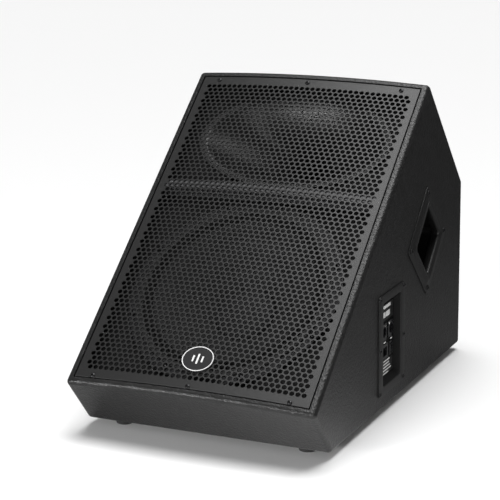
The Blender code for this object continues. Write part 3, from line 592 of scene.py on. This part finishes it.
def build_grille_screws(settings):
    """Six heads, three along each end of the face, seated on the bowed sheet."""
    for i in range(1, 7):
        name = f"grille_screw_{i}"
        centre = middle(name)
        offset = centre - FACE_MID
        x, v = offset[0], TOP_SCREWS_V if offset @ ALONG > 0 else LOW_SCREWS_V
        seat = float(bow(x, settings.face_sag)) - settings.sheet_drop
        rings = screw_head(0.0043, 0.0026, seat)
        rings[..., 0] += x
        points, faces = skin(rings)
        piece = new_piece(f"grille_screw_head_{i}", [(on_face(points, v), faces)], FINISHES["screw"])
        attach(piece, "cabinet", "screw_black", name)


def build_badge(settings):
    """An oval plate with a pale rim and a plain mark of three rising bars."""
    v = (middle("badge") - FACE_MID) @ ALONG
    base = float(bow(0, settings.face_sag)) - settings.sheet_drop + 0.0002
    turn = np.linspace(0, 2 * math.pi, 72, endpoint=False)
    ring = np.stack([0.030 * np.cos(turn), 0.0255 * np.sin(turn)], -1)

    def oval(shares_heights):
        return np.array([np.column_stack([ring * s, np.full(72, base + h)]) for s, h in shares_heights])
    plate = oval([(1, 0), (1, 0.0014), (0.99, 0.0018), (0.5, 0.0018)])
    plate_piece = new_piece("badge_plate", [(on_face(skin(plate)[0], v), skin(plate)[1])], FINISHES["enamel"])
    attach(plate_piece, "cabinet", "badge_plate", "badge")
    rim = oval([(0.955, 0.0016), (0.955, 0.0023), (0.90, 0.0023), (0.90, 0.0016)])
    points, faces = skin(rim, closed=True)
    attach(new_piece("badge_rim", [(on_face(points, v), faces)], FINISHES["pale"]), "cabinet", "badge_plate")
    parts = []
    for i, tall in enumerate((0.006, 0.010, 0.006)):
        rings = block(0.0016, tall, base + 0.0016, base + 0.0023, 0.0008, 0.0002, 4, ((i - 1) * 0.0085, 0))
        points, faces = skin(rings)
        parts.append((on_face(points, v), faces))
    attach(new_piece("badge_mark", parts, FINISHES["pale"]), "cabinet", "badge_plate")


# ---- woofer and horn ----------------------------------------------------------------------
def double_line(line, thickness):
    """A (radius, height) line and the same line lowered, as one closed outline."""
    line = np.asarray(line, float)
    lower = line[::-1] - [0, thickness]
    return np.concatenate([line, lower])


def cone_height(radius):
    """The cone's height at a radius: it rises from the neck to the rim with the 0.85th power."""
    share = (radius - CONE_NECK) / (CONE_RIM - CONE_NECK)
    return CONE_RIM_W - CONE_DEPTH + CONE_DEPTH * share ** 0.85


def build_woofer():
    """Turned pieces: a cone with four small ribs, a cap that is a quarter of an ellipse, a surround
    whose rolls follow the size of a sine, a gasket, and the heads of eight bolts on a circle."""
    def turn_piece(name, profile, key, slot, body, nodes, segments=128):
        rings, faces = turned(profile, segments)
        piece = new_piece(name, [(on_face(rings, WOOFER_V), faces)], FINISHES[key], 40)
        return attach(piece, body, slot, *nodes)
    radii = np.linspace(CONE_RIM, CONE_NECK, 40)
    share = (radii - CONE_NECK) / (CONE_RIM - CONE_NECK)
    ribs = 0.0006 * np.exp(-((share[:, None] - [0.35, 0.5, 0.65, 0.8]) / 0.012) ** 2).sum(1)
    turn_piece("cone", double_line(np.stack([radii, cone_height(radii) + ribs], -1), 0.0012), "cone", "cone_paper",
               "woofer_moving", ["woofer_cone"])
    arc = np.linspace(0, math.pi / 2, 16)
    seat = cone_height(CAP_RADIUS) + 0.0003
    dome = np.stack([CAP_RADIUS * np.cos(arc), seat + CAP_RISE * np.sin(arc)], -1)
    dome[-1, 0] = 0
    inner = dome[::-1] * [0.985, 1] - [0, 0.0007]
    turn_piece("cap", np.concatenate([dome, inner]), "cap", "cone_paper", "woofer_moving", ["dust_cap"])
    radii = np.linspace(0.1490, 0.1655, 41)
    share = (radii - radii[0]) / (radii[-1] - radii[0])
    rolls = -0.0176 + 0.0042 * np.abs(np.sin(2 * math.pi * share))
    turn_piece("surround", double_line(np.stack([radii, rolls], -1), 0.0008), "cloth",
               "surround_cloth", "cabinet", ["woofer_surround"])
    gasket = [(0.1662, -0.0184), (0.1662, -0.0166), (0.1668, -0.0160), (0.1772, -0.0160),
              (0.1778, -0.0166), (0.1778, -0.0184)]
    turn_piece("gasket_ring", gasket, "gasket", "gasket_rubber", "cabinet", ["woofer_gasket"])
    dress("cast", "woofer_frame")
    for i in range(1, 9):
        name = f"woofer_bolt_{i}"
        angle = math.radians(22.5 + 45 * (i - 1))
        rings = screw_head(0.0055, 0.0040, -0.0185, segments=24)
        rings[..., 0] += BOLT_CIRCLE * math.cos(angle)
        rings[..., 1] += BOLT_CIRCLE * math.sin(angle)
        points, faces = skin(rings)
        piece = new_piece(f"woofer_bolt_head_{i}", [(on_face(points, WOOFER_V), faces)], FINISHES["screw"])
        attach(piece, "cabinet", "screw_black", name)


def horn_ring(share, count=128):
    """The bore at a share of its depth: an ellipse that narrows to a tall slot, then rounds out."""
    turn = np.linspace(0, 2 * math.pi, count, endpoint=False)
    w = HORN_MOUTH_W - share * HORN_DEPTH
    if share <= THROAT_SHARE:
        k = 1 - share / THROAT_SHARE
        half_x, half_v = 0.010 + 0.162 * k ** 1.35, 0.042 + 0.056 * k ** 3.2
        power = 2 + 3.0 * (1 - k)
    else:
        k = (share - THROAT_SHARE) / (1 - THROAT_SHARE)
        k = k * k * (3 - 2 * k)
        half_x, half_v = 0.010 + 0.0145 * k, 0.042 - 0.0175 * k
        power = 5 - 3 * k
    cosine, sine = np.cos(turn), np.sin(turn)
    x = half_x * np.sign(cosine) * np.abs(cosine) ** (2 / power)
    v = half_v * np.sign(sine) * np.abs(sine) ** (2 / power)
    return np.stack([x, v, np.full(count, w)], -1)


def build_horn():
    """The flare, a rolled mouth and a flat flange, as one closed skin four millimetres thick."""
    count = 128
    turn = np.linspace(0, 2 * math.pi, count, endpoint=False)

    def ellipse(half_x, half_v, w):
        return np.stack([half_x * np.cos(turn), half_v * np.sin(turn), np.full(count, w)], -1)
    shares = np.concatenate([np.linspace(0, THROAT_SHARE, 26), np.linspace(THROAT_SHARE, 1, 10)[1:]])
    inner = [horn_ring(s, count) for s in shares]
    outer = []
    for ring, share in zip(inner[::-1], shares[::-1]):
        if 0.04 < share < 0.95:
            away = ring[:, :2] / np.linalg.norm(ring[:, :2], axis=1)[:, None]
            outer.append(np.column_stack([ring[:, :2] + away * 0.004, ring[:, 2] - 0.001]))
    rear = [ellipse(0.062, 0.062, -0.235), ellipse(0.062, 0.062, -0.229), ellipse(0.0285, 0.0285, -0.229)]
    mouth = [ellipse(0.1765, 0.1020, -0.0257), ellipse(0.190, 0.1115, -0.0257),
             ellipse(0.190, 0.1115, -0.0228), ellipse(0.1893, 0.1108, -0.0220),
             ellipse(0.1770, 0.1030, -0.0220), ellipse(0.1735, 0.0995, -0.0224)]
    points, faces = skin(inner + rear + outer + mouth, closed=True)
    piece = new_piece("horn_flare", [(on_face(points, HORN_V), faces)], FINISHES["horn"], 40)
    attach(piece, "cabinet", "horn_plastic", "horn")


# ---- handles ------------------------------------------------------------------------------
def build_handles():
    """A square plate standing on a corner, with a rolled rim and an undercut cup behind it: rings
    of (half side, corner radius, distance out of the panel)."""
    roll = np.linspace(0, math.pi / 2, 7)
    lip = [(0.0465 + 0.0075 * (1 - math.cos(a)), 0.009, -0.0015 + 0.0070 * math.sin(a)) for a in roll]
    crest = [(0.0556 + 0.0008 * math.sin(a), 0.010, 0.0047 + 0.0008 * math.cos(a)) for a in roll[::2]]
    edge = [(0.0741 + 0.0012 * math.sin(a), 0.009, 0.0006 + 0.0012 * math.cos(a)) for a in roll[::2]]
    fillet = [(0.0470 + 0.0085 * math.sin(a), 0.014, -0.0495 + 0.0085 * (1 - math.cos(a)))
              for a in roll[::2]]
    rings_at = ([(0.020, 0.010, -0.0495)] + fillet + [(0.0578, 0.013, -0.0190), (0.0570, 0.012, -0.0165),
                (0.0470, 0.009, -0.0125), (0.0465, 0.009, -0.0115)] + lip + crest
                + [(0.0612, 0.011, 0.0023), (0.0622, 0.011, 0.0018)] + edge
                + [(0.0753, 0.010, 0.0003), (0.0612, 0.0096, 0.0003), (0.0612, 0.0096, -0.0050),
                   (0.0585, 0.018, -0.0480), (0.0520, 0.018, -0.0525), (0.020, 0.010, -0.0525)])
    for side, name in ((1, "handle_cup_right"), (-1, "handle_cup_left")):
        centre = middle(name)
        rings = np.array([on_side(np.column_stack([rounded_rectangle(h, h, r, 8, math.radians(45)),
                                                   np.full(36, out)]), side, centre[1], centre[2])
                          for h, r, out in rings_at])
        piece = new_piece(name.replace("cup", "plate"), [skin(rings)], FINISHES["handle"], 40)
        # painted shade: the cup's faces inside the panel get the darker finish
        paint_recess_shade(piece, "hollow", lambda at: side * at.x < HALF - 0.0008)
        attach(piece, "cabinet", "handle_plastic", name)
        for i, (along, up) in enumerate(((HANDLE_SCREWS, 0), (0, HANDLE_SCREWS), (-HANDLE_SCREWS, 0),
                                         (0, -HANDLE_SCREWS))):
            head = screw_head(0.0046, 0.0026, 0.0017, 0.003)
            head[..., 0] += along
            head[..., 1] += up
            points, faces = skin(on_side(head, side, centre[1], centre[2]))
            label = "right" if side > 0 else "left"
            attach(new_piece(f"handle_screw_{label}_{i + 1}", [(points, faces)], FINISHES["screw"]),
                   "cabinet", "screw_black")


# ---- input dish ---------------------------------------------------------------------------
def build_dish():
    """The tray: a flat flange, a rolled rim, drafted walls and a floor, with the sockets' holes."""
    dish = middle("input_dish")
    y, z = dish[1], dish[2]

    def placed(rings):
        return on_side(rings, 1, y, z)
    roll = np.linspace(0, math.pi / 2, 5)
    rings_at = [(0.020, 0.050, 0.004, DISH_FLOOR), (0.0377, 0.0669, 0.004, DISH_FLOOR),
                (0.0385, 0.0677, 0.004, DISH_FLOOR + 0.0008)]
    rings_at += [(0.0449 + 0.0014 * (1 - math.cos(a)), 0.0766 + 0.0014 * (1 - math.cos(a)), 0.007,
                  0.0008 + 0.0014 * math.sin(a)) for a in roll]
    rings_at += [(0.0640 + 0.0010 * math.sin(a), 0.0915 + 0.0010 * math.sin(a), 0.008,
                  0.0012 + 0.0010 * math.cos(a)) for a in roll]
    rings_at += [(0.0650, 0.0925, 0.008, 0.0003), (0.0492, 0.0802, 0.008, 0.0003),
                 (0.0480, 0.0790, 0.008, -0.0020), (0.0400, 0.0712, 0.006, DISH_FLOOR - 0.0025),
                 (0.020, 0.050, 0.004, DISH_FLOOR - 0.0025)]
    rings = placed(np.array([np.column_stack([rounded_rectangle(a, b, r, 6), np.full(28, out)])
                             for a, b, r, out in rings_at]))
    tray = new_piece("dish_tray", [skin(rings)], FINISHES["dish"], 35)
    places = {}
    for name in ("input_socket", "loop_socket", "power_inlet", "rocker_housing"):
        centre = middle(name)
        places[name] = (centre[1] - y, centre[2] - z)
    tools = []
    for name in ("input_socket", "loop_socket"):
        hole = placed(rod(0.0118, DISH_FLOOR - 0.01, DISH_FLOOR + 0.005, 40, centre=places[name]))
        tools.append(new_piece("hole", [skin(hole)], FINISHES["dish"]))
    for name, half_a, half_b in (("power_inlet", 0.0148, 0.0108), ("rocker_housing", 0.0068, 0.0103)):
        hole = block(half_a, half_b, DISH_FLOOR - 0.01, DISH_FLOOR + 0.005, centre=places[name])
        tools.append(new_piece("hole", [skin(placed(hole))], FINISHES["dish"]))
    latch = (places["input_socket"][0], places["input_socket"][1] + LATCH_ABOVE_SOCKET)
    hole = block(0.0034, 0.0016, DISH_FLOOR - 0.01, DISH_FLOOR + 0.005, 0.0004, 0.0001, centre=latch)
    tools.append(new_piece("hole", [skin(placed(hole))], FINISHES["dish"]))
    subtract(tray, tools)
    tray.data.shade_smooth()
    tray.data.set_sharp_from_angle(angle=math.radians(35))
    # painted shade: the tray's walls and floor inside the panel get the darker finish
    paint_recess_shade(tray, "hollow", lambda at: at.x < HALF - 0.0001)
    attach(tray, "cabinet", "dish_plastic", "input_dish")
    number = 0
    for along in (-0.0590, 0.0590):
        for up in (-0.0860, -0.0060, 0.0860):
            number += 1
            head = screw_head(0.0040, 0.0022, 0.0021, 0.003)
            head[..., 0] += along
            head[..., 1] += up
            attach(new_piece(f"dish_screw_{number}", [skin(placed(head))], FINISHES["screw"]), "cabinet",
                   "screw_black")
    build_sockets(placed, places)
    build_labels(placed)


def build_sockets(placed, places):
    """Two round sockets with bores and contacts, the latch's tab and the mains inlet's blades."""
    front = DISH_FLOOR + 0.0003
    for name, pins in (("input_socket", False), ("loop_socket", True)):
        at = places[name]
        body = new_piece(name + "_flange", [skin(placed(block(0.0130, 0.0155, front, front + 0.0022,
                                                              0.003, 0.0006, centre=at)))],
                         FINISHES["gloss"])
        barrel = rod(0.0115, DISH_FLOOR - 0.0220, front + 0.0010, 48, centre=at)
        union = new_piece("barrel", [skin(placed(barrel))], FINISHES["gloss"])
        add = body.modifiers.new("barrel", "BOOLEAN")
        add.operation = "UNION"
        add.object = union
        tools = [new_piece("bore", [skin(placed(rod(0.0094, DISH_FLOOR - 0.0120, 0.01, 48, centre=at)))],
                           FINISHES["gloss"])]
        if not pins:
            slot = block(0.0034, 0.0016, DISH_FLOOR - 0.0015, 0.01, 0.0004, 0.0001,
                         centre=(at[0], at[1] + LATCH_ABOVE_SOCKET))
            tools.append(new_piece("latch_slot", [skin(placed(slot))], FINISHES["gloss"]))
        subtract(body, tools)
        bpy.data.objects.remove(union)
        body.data.shade_smooth()
        body.data.set_sharp_from_angle(angle=math.radians(35))
        attach(body, "cabinet", "socket_plastic", name)
        contacts = []
        for turn in (90, 210, 330):
            spot = (at[0] + 0.0042 * math.cos(math.radians(turn)),
                    at[1] + 0.0042 * math.sin(math.radians(turn)))
            top = DISH_FLOOR - 0.0030 if pins else DISH_FLOOR - 0.0105
            contacts.append(skin(placed(rod(0.0012 if pins else 0.0018, DISH_FLOOR - 0.0122, top, 20,
                                            centre=spot))))
        attach(new_piece(name + "_contacts", contacts, FINISHES["nickel"]), "cabinet", "latch_metal")
    at = places["input_socket"]
    tab = block(0.0030, 0.0012, DISH_FLOOR + 0.0012, DISH_FLOOR + 0.0048, 0.0006, 0.0004,
                centre=(at[0], at[1] + LATCH_ABOVE_SOCKET))
    attach(new_piece("latch_tab", [skin(placed(tab))], FINISHES["nickel"]), "latch", "latch_metal",
           "input_latch")
    dress("gloss", "power_inlet", "rocker_housing", "power_rocker")
    at = places["power_inlet"]
    blades = []
    for along, up in ((-0.0055, -0.0015), (0.0055, -0.0015), (0.0, 0.0030)):
        blades.append(skin(placed(block(0.0010, 0.0021, DISH_FLOOR - 0.0152, DISH_FLOOR - 0.0030, 0.0004,
                                        0.0003, 3, (at[0] + along, at[1] + up)))))
    attach(new_piece("inlet_blades", blades, FINISHES["nickel"]), "cabinet", "latch_metal")


def build_labels(placed):
    """Blank labels: a pale field, a strip above it and rows of plain bars with no lettering."""
    front = DISH_FLOOR + 0.0003
    base = [skin(placed(block(0.0330, 0.0150, front, front + 0.0006, 0.002, 0.0002, centre=(0, 0.0500))))]
    attach(new_piece("upper_label_film", base, FINISHES["ink"]), "cabinet", "label_print", "upper_label")
    base = [skin(placed(block(0.0330, 0.0140, front, front + 0.0006, 0.002, 0.0002, centre=(0, -0.0520))))]
    attach(new_piece("rating_label_film", base, FINISHES["ink"]), "cabinet", "label_print", "rating_label")
    fields = [(0.0200, 0.0030, 0.0, 0.0600), (0.0095, 0.0050, -0.0145, 0.0460),
              (0.0095, 0.0050, 0.0065, 0.0460)]
    for i, half_length in enumerate((0.0230, 0.0215, 0.0235, 0.0265, 0.0200)):
        fields.append((half_length, 0.0011, -0.0290 + half_length, -0.0405 - i * 0.0058))
    parts = [skin(placed(block(a, b, front + 0.0005, front + 0.0009, 0.0008, 0.0001, 3, (c, d))))
             for a, b, c, d in fields]
    for a, b, c, d in ((0.0050, 0.0012, -0.0130, -0.0040), (0.0040, 0.0012, 0.0195, -0.0040),
                       (0.0022, 0.0022, 0.0100, 0.0260)):
        parts.append(skin(placed(block(a, b, front + 0.0021, front + 0.0025, 0.0006, 0.0001, 3, (c, d)))))
    attach(new_piece("label_fields", parts, FINISHES["label"]), "cabinet", "label_print")


# ---- feet ---------------------------------------------------------------------------------
def build_feet():
    """Turned rubber feet: a slightly flared side, a rolled rim and a recess with its screw."""
    arc = np.linspace(0, math.pi / 2, 6)
    rim = np.stack([0.0137 + 0.0018 * np.sin(arc), 0.0018 * (1 - np.cos(arc))], -1)
    side = [(0.0162, 0.0110), (0.0165, 0.0122)]
    hollow = [(0.0050, 0.0122), (0.0050, 0.0060), (0.0062, 0.0052), (0.0062, 0.0005), (0.0066, 0.0)]
    profile = np.concatenate([rim, side, hollow])
    for name in ("foot_front_left", "foot_front_right", "foot_rear_left", "foot_rear_right"):
        centre = middle(name)
        rings, faces = turned(profile, 64)
        rings = rings + [centre[0], centre[1], 0]
        attach(new_piece(name + "_rubber", [(rings, faces)], FINISHES["rubber"]), "cabinet",
               "foot_rubber", name)
        head = screw_head(0.0045, 0.0022, 0.0, 0.003, 24) * [1, -1, -1] + [centre[0], centre[1], 0.0055]
        attach(new_piece(name + "_screw", [skin(head)], FINISHES["screw"]), "cabinet", "screw_black")


def dress_inside():
    """Finishes of the carried CAD nodes behind the baffle."""
    dress("film", "coil_former")
    dress("cloth", "spider")
    dress("plated", "top_plate", "back_plate_and_pole")
    dress("ferrite", "magnet_ring", "hf_driver")
    dress("gloss", "hf_driver_cap")
    dress("board", "amp_board")
    dress("winding", "mains_transformer")
    dress("wadding", "wadding")
    dress("sink", "heat_sink")


# ---- stage --------------------------------------------------------------------------------
def aimed(name, light, place, aim):
    """A lamp at a place, its beam along the line to aim."""
    made = bpy.data.objects.new(name, light)
    made.location = place
    made.rotation_euler = (Vector(place) - Vector(aim)).to_track_quat("Z", "Y").to_euler()
    bpy.context.scene.collection.objects.link(made)


def softbox(name, place, aim, size, power):
    """A rectangular area lamp that faces a point."""
    light = bpy.data.lights.new(name, "AREA")
    light.shape = "RECTANGLE"
    light.size, light.size_y = size
    light.energy = power
    aimed(name, light, place, aim)


def build_floor(settings):
    """A square of pale floor. In mirrored rays only, its colour fades with distance from the cabinet's front, a
    painted reflection that darkens the floor as the cabinet mirrors it, and it glows before the lip, a painted
    glow that lights the lip's reflection."""
    floor_finish = grain(finish("pale_floor", (0.90, 0.90, 0.90), 0.7, specular=0.2), 0.05, 0.0001)
    links = floor_finish.node_tree.links
    place = node(floor_finish, "ShaderNodeTexCoord")
    seen = node(floor_finish, "ShaderNodeLightPath")
    shader = floor_finish.node_tree.nodes["Principled BSDF"]
    squash = node(floor_finish, "ShaderNodeVectorMath", operation="MULTIPLY")
    squash.inputs[1].default_value = (0.5, 1.0, 1.0)
    links.new(place.outputs["Object"], squash.inputs[0])

    def ramp_from(centre, reach, stops):
        """A grey that follows (distance, value) stops round a centre, out to a reach."""
        away = node(floor_finish, "ShaderNodeVectorMath", operation="DISTANCE")
        away.inputs[1].default_value = centre
        share = node(floor_finish, "ShaderNodeMath", operation="DIVIDE")
        share.inputs[1].default_value = reach
        ramp = node(floor_finish, "ShaderNodeValToRGB")
        while len(ramp.color_ramp.elements) < len(stops):
            ramp.color_ramp.elements.new(0.5)
        for element, (distance, value) in zip(ramp.color_ramp.elements, stops):
            element.position = distance / reach
            element.color = (value, value, value, 1)
        links.new(squash.outputs["Vector"], away.inputs[0])
        links.new(away.outputs["Value"], share.inputs[0])
        links.new(share.outputs[0], ramp.inputs[0])
        return ramp.outputs["Color"]
    # painted reflection: in mirrored rays the floor takes a grey that darkens with distance from the front
    mix = node(floor_finish, "ShaderNodeMix", data_type="RGBA")
    mix.inputs[6].default_value = (0.90, 0.90, 0.90, 1)
    links.new(ramp_from((0.07, -0.40, 0.0), 2.0, ((0.0, 0.62), (0.34, 0.44), (0.52, 0.26), (0.66, 0.17),
                                                  (1.0, 0.14), (1.9, 0.04))), mix.inputs[7])
    links.new(seen.outputs["Is Glossy Ray"], mix.inputs[0])
    links.new(mix.outputs[2], shader.inputs["Base Color"])
    # painted glow: in mirrored rays only the floor shines before the lip, lighting the lip's reflection
    links.new(ramp_from((0.17, -0.40, 0.0), 0.4, ((0.0, 1.0), (0.10, 0.85), (0.18, 0.40), (0.32, 0.0))),
              shader.inputs["Emission Color"])
    painted_glow = node(floor_finish, "ShaderNodeMath", operation="MULTIPLY")
    painted_glow.inputs[1].default_value = settings.painted_floor_glow
    links.new(seen.outputs["Is Glossy Ray"], painted_glow.inputs[0])
    links.new(painted_glow.outputs[0], shader.inputs["Emission Strength"])
    half = settings.floor_half
    mesh = bpy.data.meshes.new("floor")
    mesh.from_pydata([(-half, -half, 0), (half, -half, 0), (half, half, 0), (-half, half, 0)], [],
                     [(0, 1, 2, 3)])
    mesh.materials.append(floor_finish)
    floor = bpy.data.objects.new("floor", mesh)
    bpy.context.scene.collection.objects.link(floor)


def build_stage(settings):
    """A pale floor, a broad overhead light, softboxes, the camera, and a white room that is bright
    to the camera and dim to everything else."""
    world = bpy.data.worlds.new("studio")
    bpy.context.scene.world = world
    world.use_nodes = True
    background = world.node_tree.nodes["Background"]
    background.inputs["Color"].default_value = (1.0, 1.0, 1.0, 1.0)
    seen = world.node_tree.nodes.new("ShaderNodeLightPath")
    strength = world.node_tree.nodes.new("ShaderNodeMapRange")
    strength.inputs["To Min"].default_value = settings.room_light
    strength.inputs["To Max"].default_value = settings.backdrop
    world.node_tree.links.new(seen.outputs["Is Camera Ray"], strength.inputs["Value"])
    world.node_tree.links.new(strength.outputs["Result"], background.inputs["Strength"])
    bpy.context.scene.view_settings.view_transform = "Standard"
    bpy.context.scene.view_settings.look = "None"
    build_floor(settings)
    sky = bpy.data.lights.new("overhead", "SUN")
    sky.energy = settings.overhead_power
    sky.angle = settings.overhead_spread
    aimed("overhead", sky, settings.overhead_from, (0, 0, 0))
    softbox("front_softbox", (-1.3, -3.2, 1.3), (0, 0, 0.3), (0.9, 0.5), settings.front_power)
    softbox("low_softbox", (0.55, -2.6, 0.42), (0.0, -0.35, 0.05), (1.3, 0.5), settings.low_power)
    softbox("edge_softbox", (-1.25, -2.4, 0.42), (-0.1, -0.36, 0.10), (0.50, 0.10), settings.edge_power)
    softbox("high_softbox", (0.98, 0.20, 2.7), (0.0, 0.1, 0.45), (0.6, 0.5), settings.high_power)
    softbox("side_softbox", (1.5, -2.2, 0.55), (0.2, -0.3, 0.05), (0.6, 0.6), settings.side_power)
    lens = bpy.data.cameras.new("camera")
    lens.sensor_width = 36
    lens.lens = settings.lens
    camera = bpy.data.objects.new("camera", lens)
    camera.location = settings.camera_place
    camera.rotation_euler = Euler([math.radians(a) for a in settings.camera_turn])
    bpy.context.scene.collection.objects.link(camera)
    bpy.context.scene.camera = camera


# ---- settings -----------------------------------------------------------------------------
def number(name, description, default, **kind):
    """A setting that holds one number."""
    return bpy.props.FloatProperty(name=name, description=description, default=default, **kind)


def triple(name, description, default, **kind):
    """A setting that holds three numbers."""
    return bpy.props.FloatVectorProperty(name=name, description=description, default=default, **kind)


class WedgeBodySettings(bpy.types.PropertyGroup):
    """Sizes of the cabinet and the grille"""
    edge_radius: number("Edge radius", "Rounding of the cabinet's edges", 0.0080, unit="LENGTH")
    face_sag: number("Face bow", "How far the face's middle stands out", 0.0105, unit="LENGTH")
    sheet_thickness: number("Sheet thickness", "Steel of the grille", 0.002, unit="LENGTH")
    sheet_drop: number("Sheet drop", "Grille below the cabinet's edge", 0.0005, unit="LENGTH")
    sheet_gap: number("Sheet gap", "Gap round the grille's edge", 0.0026, unit="LENGTH")
    step_depth: number("Step depth", "Step behind the grille's edge", 0.0075, unit="LENGTH")
    pitch: number("Hole pitch", "Distance between hole centres", 0.01075, unit="LENGTH")
    hole_share: number("Hole share", "Hole diameter over the pitch", 0.82, subtype="FACTOR")
    rows: bpy.props.IntProperty(name="Rows", description="Rows of holes up the face", default=70)
    columns: bpy.props.IntProperty(name="Columns", description="Holes in each row", default=38)


class WedgeColourSettings(bpy.types.PropertyGroup):
    """Colours of the outside"""
    paint: triple("Cabinet paint", "Textured cabinet paint", (0.011, 0.011, 0.011), subtype="COLOR")
    grille: triple("Grille coat", "Powder coat of the grille", (0.011, 0.011, 0.011), subtype="COLOR")


class WedgeStageSettings(bpy.types.PropertyGroup):
    """Strength of the lights, the floor and the camera"""
    room_light: number("Room light", "Strength of the white room", 0.16)
    backdrop: number("Backdrop", "Brightness of the room as seen", 0.93)
    overhead_power: number("Overhead", "Strength of the overhead light", 2.9)
    overhead_spread: number("Overhead spread", "Width of that light", math.radians(40), subtype="ANGLE")
    overhead_from: triple("Overhead from", "Where it comes from", (0.0, 0.1, 1.0), subtype="DIRECTION")
    front_power: number("Front", "Front softbox", 6.0, unit="POWER")
    side_power: number("Side", "Side softbox", 4.0, unit="POWER")
    low_power: number("Low", "Low softbox before the lip", 16.0, unit="POWER")
    edge_power: number("Edge", "Small softbox for the lip's edge", 40.0, unit="POWER")
    high_power: number("High", "High softbox seen in the horn", 7.0, unit="POWER")
    # painted glow: strength of the floor's shine in mirrored rays before the lip
    painted_floor_glow: number("Floor glow", "Light of the table in reflections", 0.72)
    floor_half: number("Floor half", "Half the side of the floor", 14.0, unit="LENGTH")
    lens: number("Lens", "Focal length in millimetres on a 36 mm sensor", 125.7)
    camera_place: triple("Camera place", "Camera position", (1.2547, -2.8170, 1.0479),
                         subtype="TRANSLATION")
    camera_turn: triple("Camera turn", "Camera angles in degrees", (75.819, 0.635, 24.697))


# ---- operators ----------------------------------------------------------------------------
class WEDGE_OT_finishes(bpy.types.Operator):
    """Make every material of the wedge"""
    bl_idname = "wedge.finishes"
    bl_label = "Mix finishes"

    def execute(self, context):
        FINISHES.update(make_finishes(context.scene.wedge_colours))
        return {"FINISHED"}


class WEDGE_OT_cabinet(bpy.types.Operator):
    """Build the painted hollow cabinet"""
    bl_idname = "wedge.cabinet"
    bl_label = "Build cabinet"

    def execute(self, context):
        build_cabinet(context.scene.wedge_body)
        return {"FINISHED"}


class WEDGE_OT_grille(bpy.types.Operator):
    """Build the bowed perforated grille"""
    bl_idname = "wedge.grille"
    bl_label = "Build grille"

    def execute(self, context):
        build_grille(context.scene.wedge_body)
        return {"FINISHED"}


class WEDGE_OT_grille_screws(bpy.types.Operator):
    """Build the six grille screws"""
    bl_idname = "wedge.grille_screws"
    bl_label = "Build grille screws"

    def execute(self, context):
        build_grille_screws(context.scene.wedge_body)
        return {"FINISHED"}


class WEDGE_OT_badge(bpy.types.Operator):
    """Build the oval badge"""
    bl_idname = "wedge.badge"
    bl_label = "Build badge"

    def execute(self, context):
        build_badge(context.scene.wedge_body)
        return {"FINISHED"}


class WEDGE_OT_woofer(bpy.types.Operator):
    """Build the woofer's visible pieces"""
    bl_idname = "wedge.woofer"
    bl_label = "Build woofer"

    def execute(self, context):
        build_woofer()
        return {"FINISHED"}


class WEDGE_OT_horn(bpy.types.Operator):
    """Build the elliptical horn"""
    bl_idname = "wedge.horn"
    bl_label = "Build horn"

    def execute(self, context):
        build_horn()
        return {"FINISHED"}


class WEDGE_OT_handles(bpy.types.Operator):
    """Build both recessed handles"""
    bl_idname = "wedge.handles"
    bl_label = "Build handles"

    def execute(self, context):
        build_handles()
        return {"FINISHED"}


class WEDGE_OT_dish(bpy.types.Operator):
    """Build the input dish and its sockets"""
    bl_idname = "wedge.dish"
    bl_label = "Build input dish"

    def execute(self, context):
        build_dish()
        return {"FINISHED"}


class WEDGE_OT_feet(bpy.types.Operator):
    """Build the rubber feet"""
    bl_idname = "wedge.feet"
    bl_label = "Build feet"

    def execute(self, context):
        build_feet()
        return {"FINISHED"}


class WEDGE_OT_inside(bpy.types.Operator):
    """Give the inner pieces their materials"""
    bl_idname = "wedge.inside"
    bl_label = "Finish the inside"

    def execute(self, context):
        dress_inside()
        return {"FINISHED"}


class WEDGE_OT_stage(bpy.types.Operator):
    """Make the floor, the lights and the camera"""
    bl_idname = "wedge.stage"
    bl_label = "Set the stage"

    def execute(self, context):
        build_stage(context.scene.wedge_stage)
        return {"FINISHED"}


OPERATORS = [WEDGE_OT_finishes, WEDGE_OT_cabinet, WEDGE_OT_grille, WEDGE_OT_grille_screws,
             WEDGE_OT_badge, WEDGE_OT_woofer, WEDGE_OT_horn, WEDGE_OT_handles,
             WEDGE_OT_dish, WEDGE_OT_feet, WEDGE_OT_inside, WEDGE_OT_stage]


class WEDGE_PT_panel(bpy.types.Panel):
    """Lists the wedge's pieces"""
    bl_idname = "WEDGE_PT_panel"
    bl_label = "Stage Monitor Wedge"
    bl_space_type = "VIEW_3D"
    bl_region_type = "UI"
    bl_category = "Wedge"

    def draw(self, context):
        for operator in OPERATORS:
            self.layout.operator(operator.bl_idname)


CLASSES = [WedgeBodySettings, WedgeColourSettings, WedgeStageSettings, *OPERATORS, WEDGE_PT_panel]


def register():
    """Registers every class and hangs the settings on the scene."""
    for item in CLASSES:
        bpy.utils.register_class(item)
    bpy.types.Scene.wedge_body = bpy.props.PointerProperty(type=WedgeBodySettings)
    bpy.types.Scene.wedge_colours = bpy.props.PointerProperty(type=WedgeColourSettings)
    bpy.types.Scene.wedge_stage = bpy.props.PointerProperty(type=WedgeStageSettings)


def unregister():
    """Undoes register, last class first."""
    del bpy.types.Scene.wedge_stage
    del bpy.types.Scene.wedge_colours
    del bpy.types.Scene.wedge_body
    for item in reversed(CLASSES):
        bpy.utils.unregister_class(item)


def main():
    """Builds the wedge and its stage."""
    register()
    for operator in OPERATORS:
        getattr(bpy.ops.wedge, operator.bl_idname.split(".")[1])()


if __name__ == "__main__":
    main()
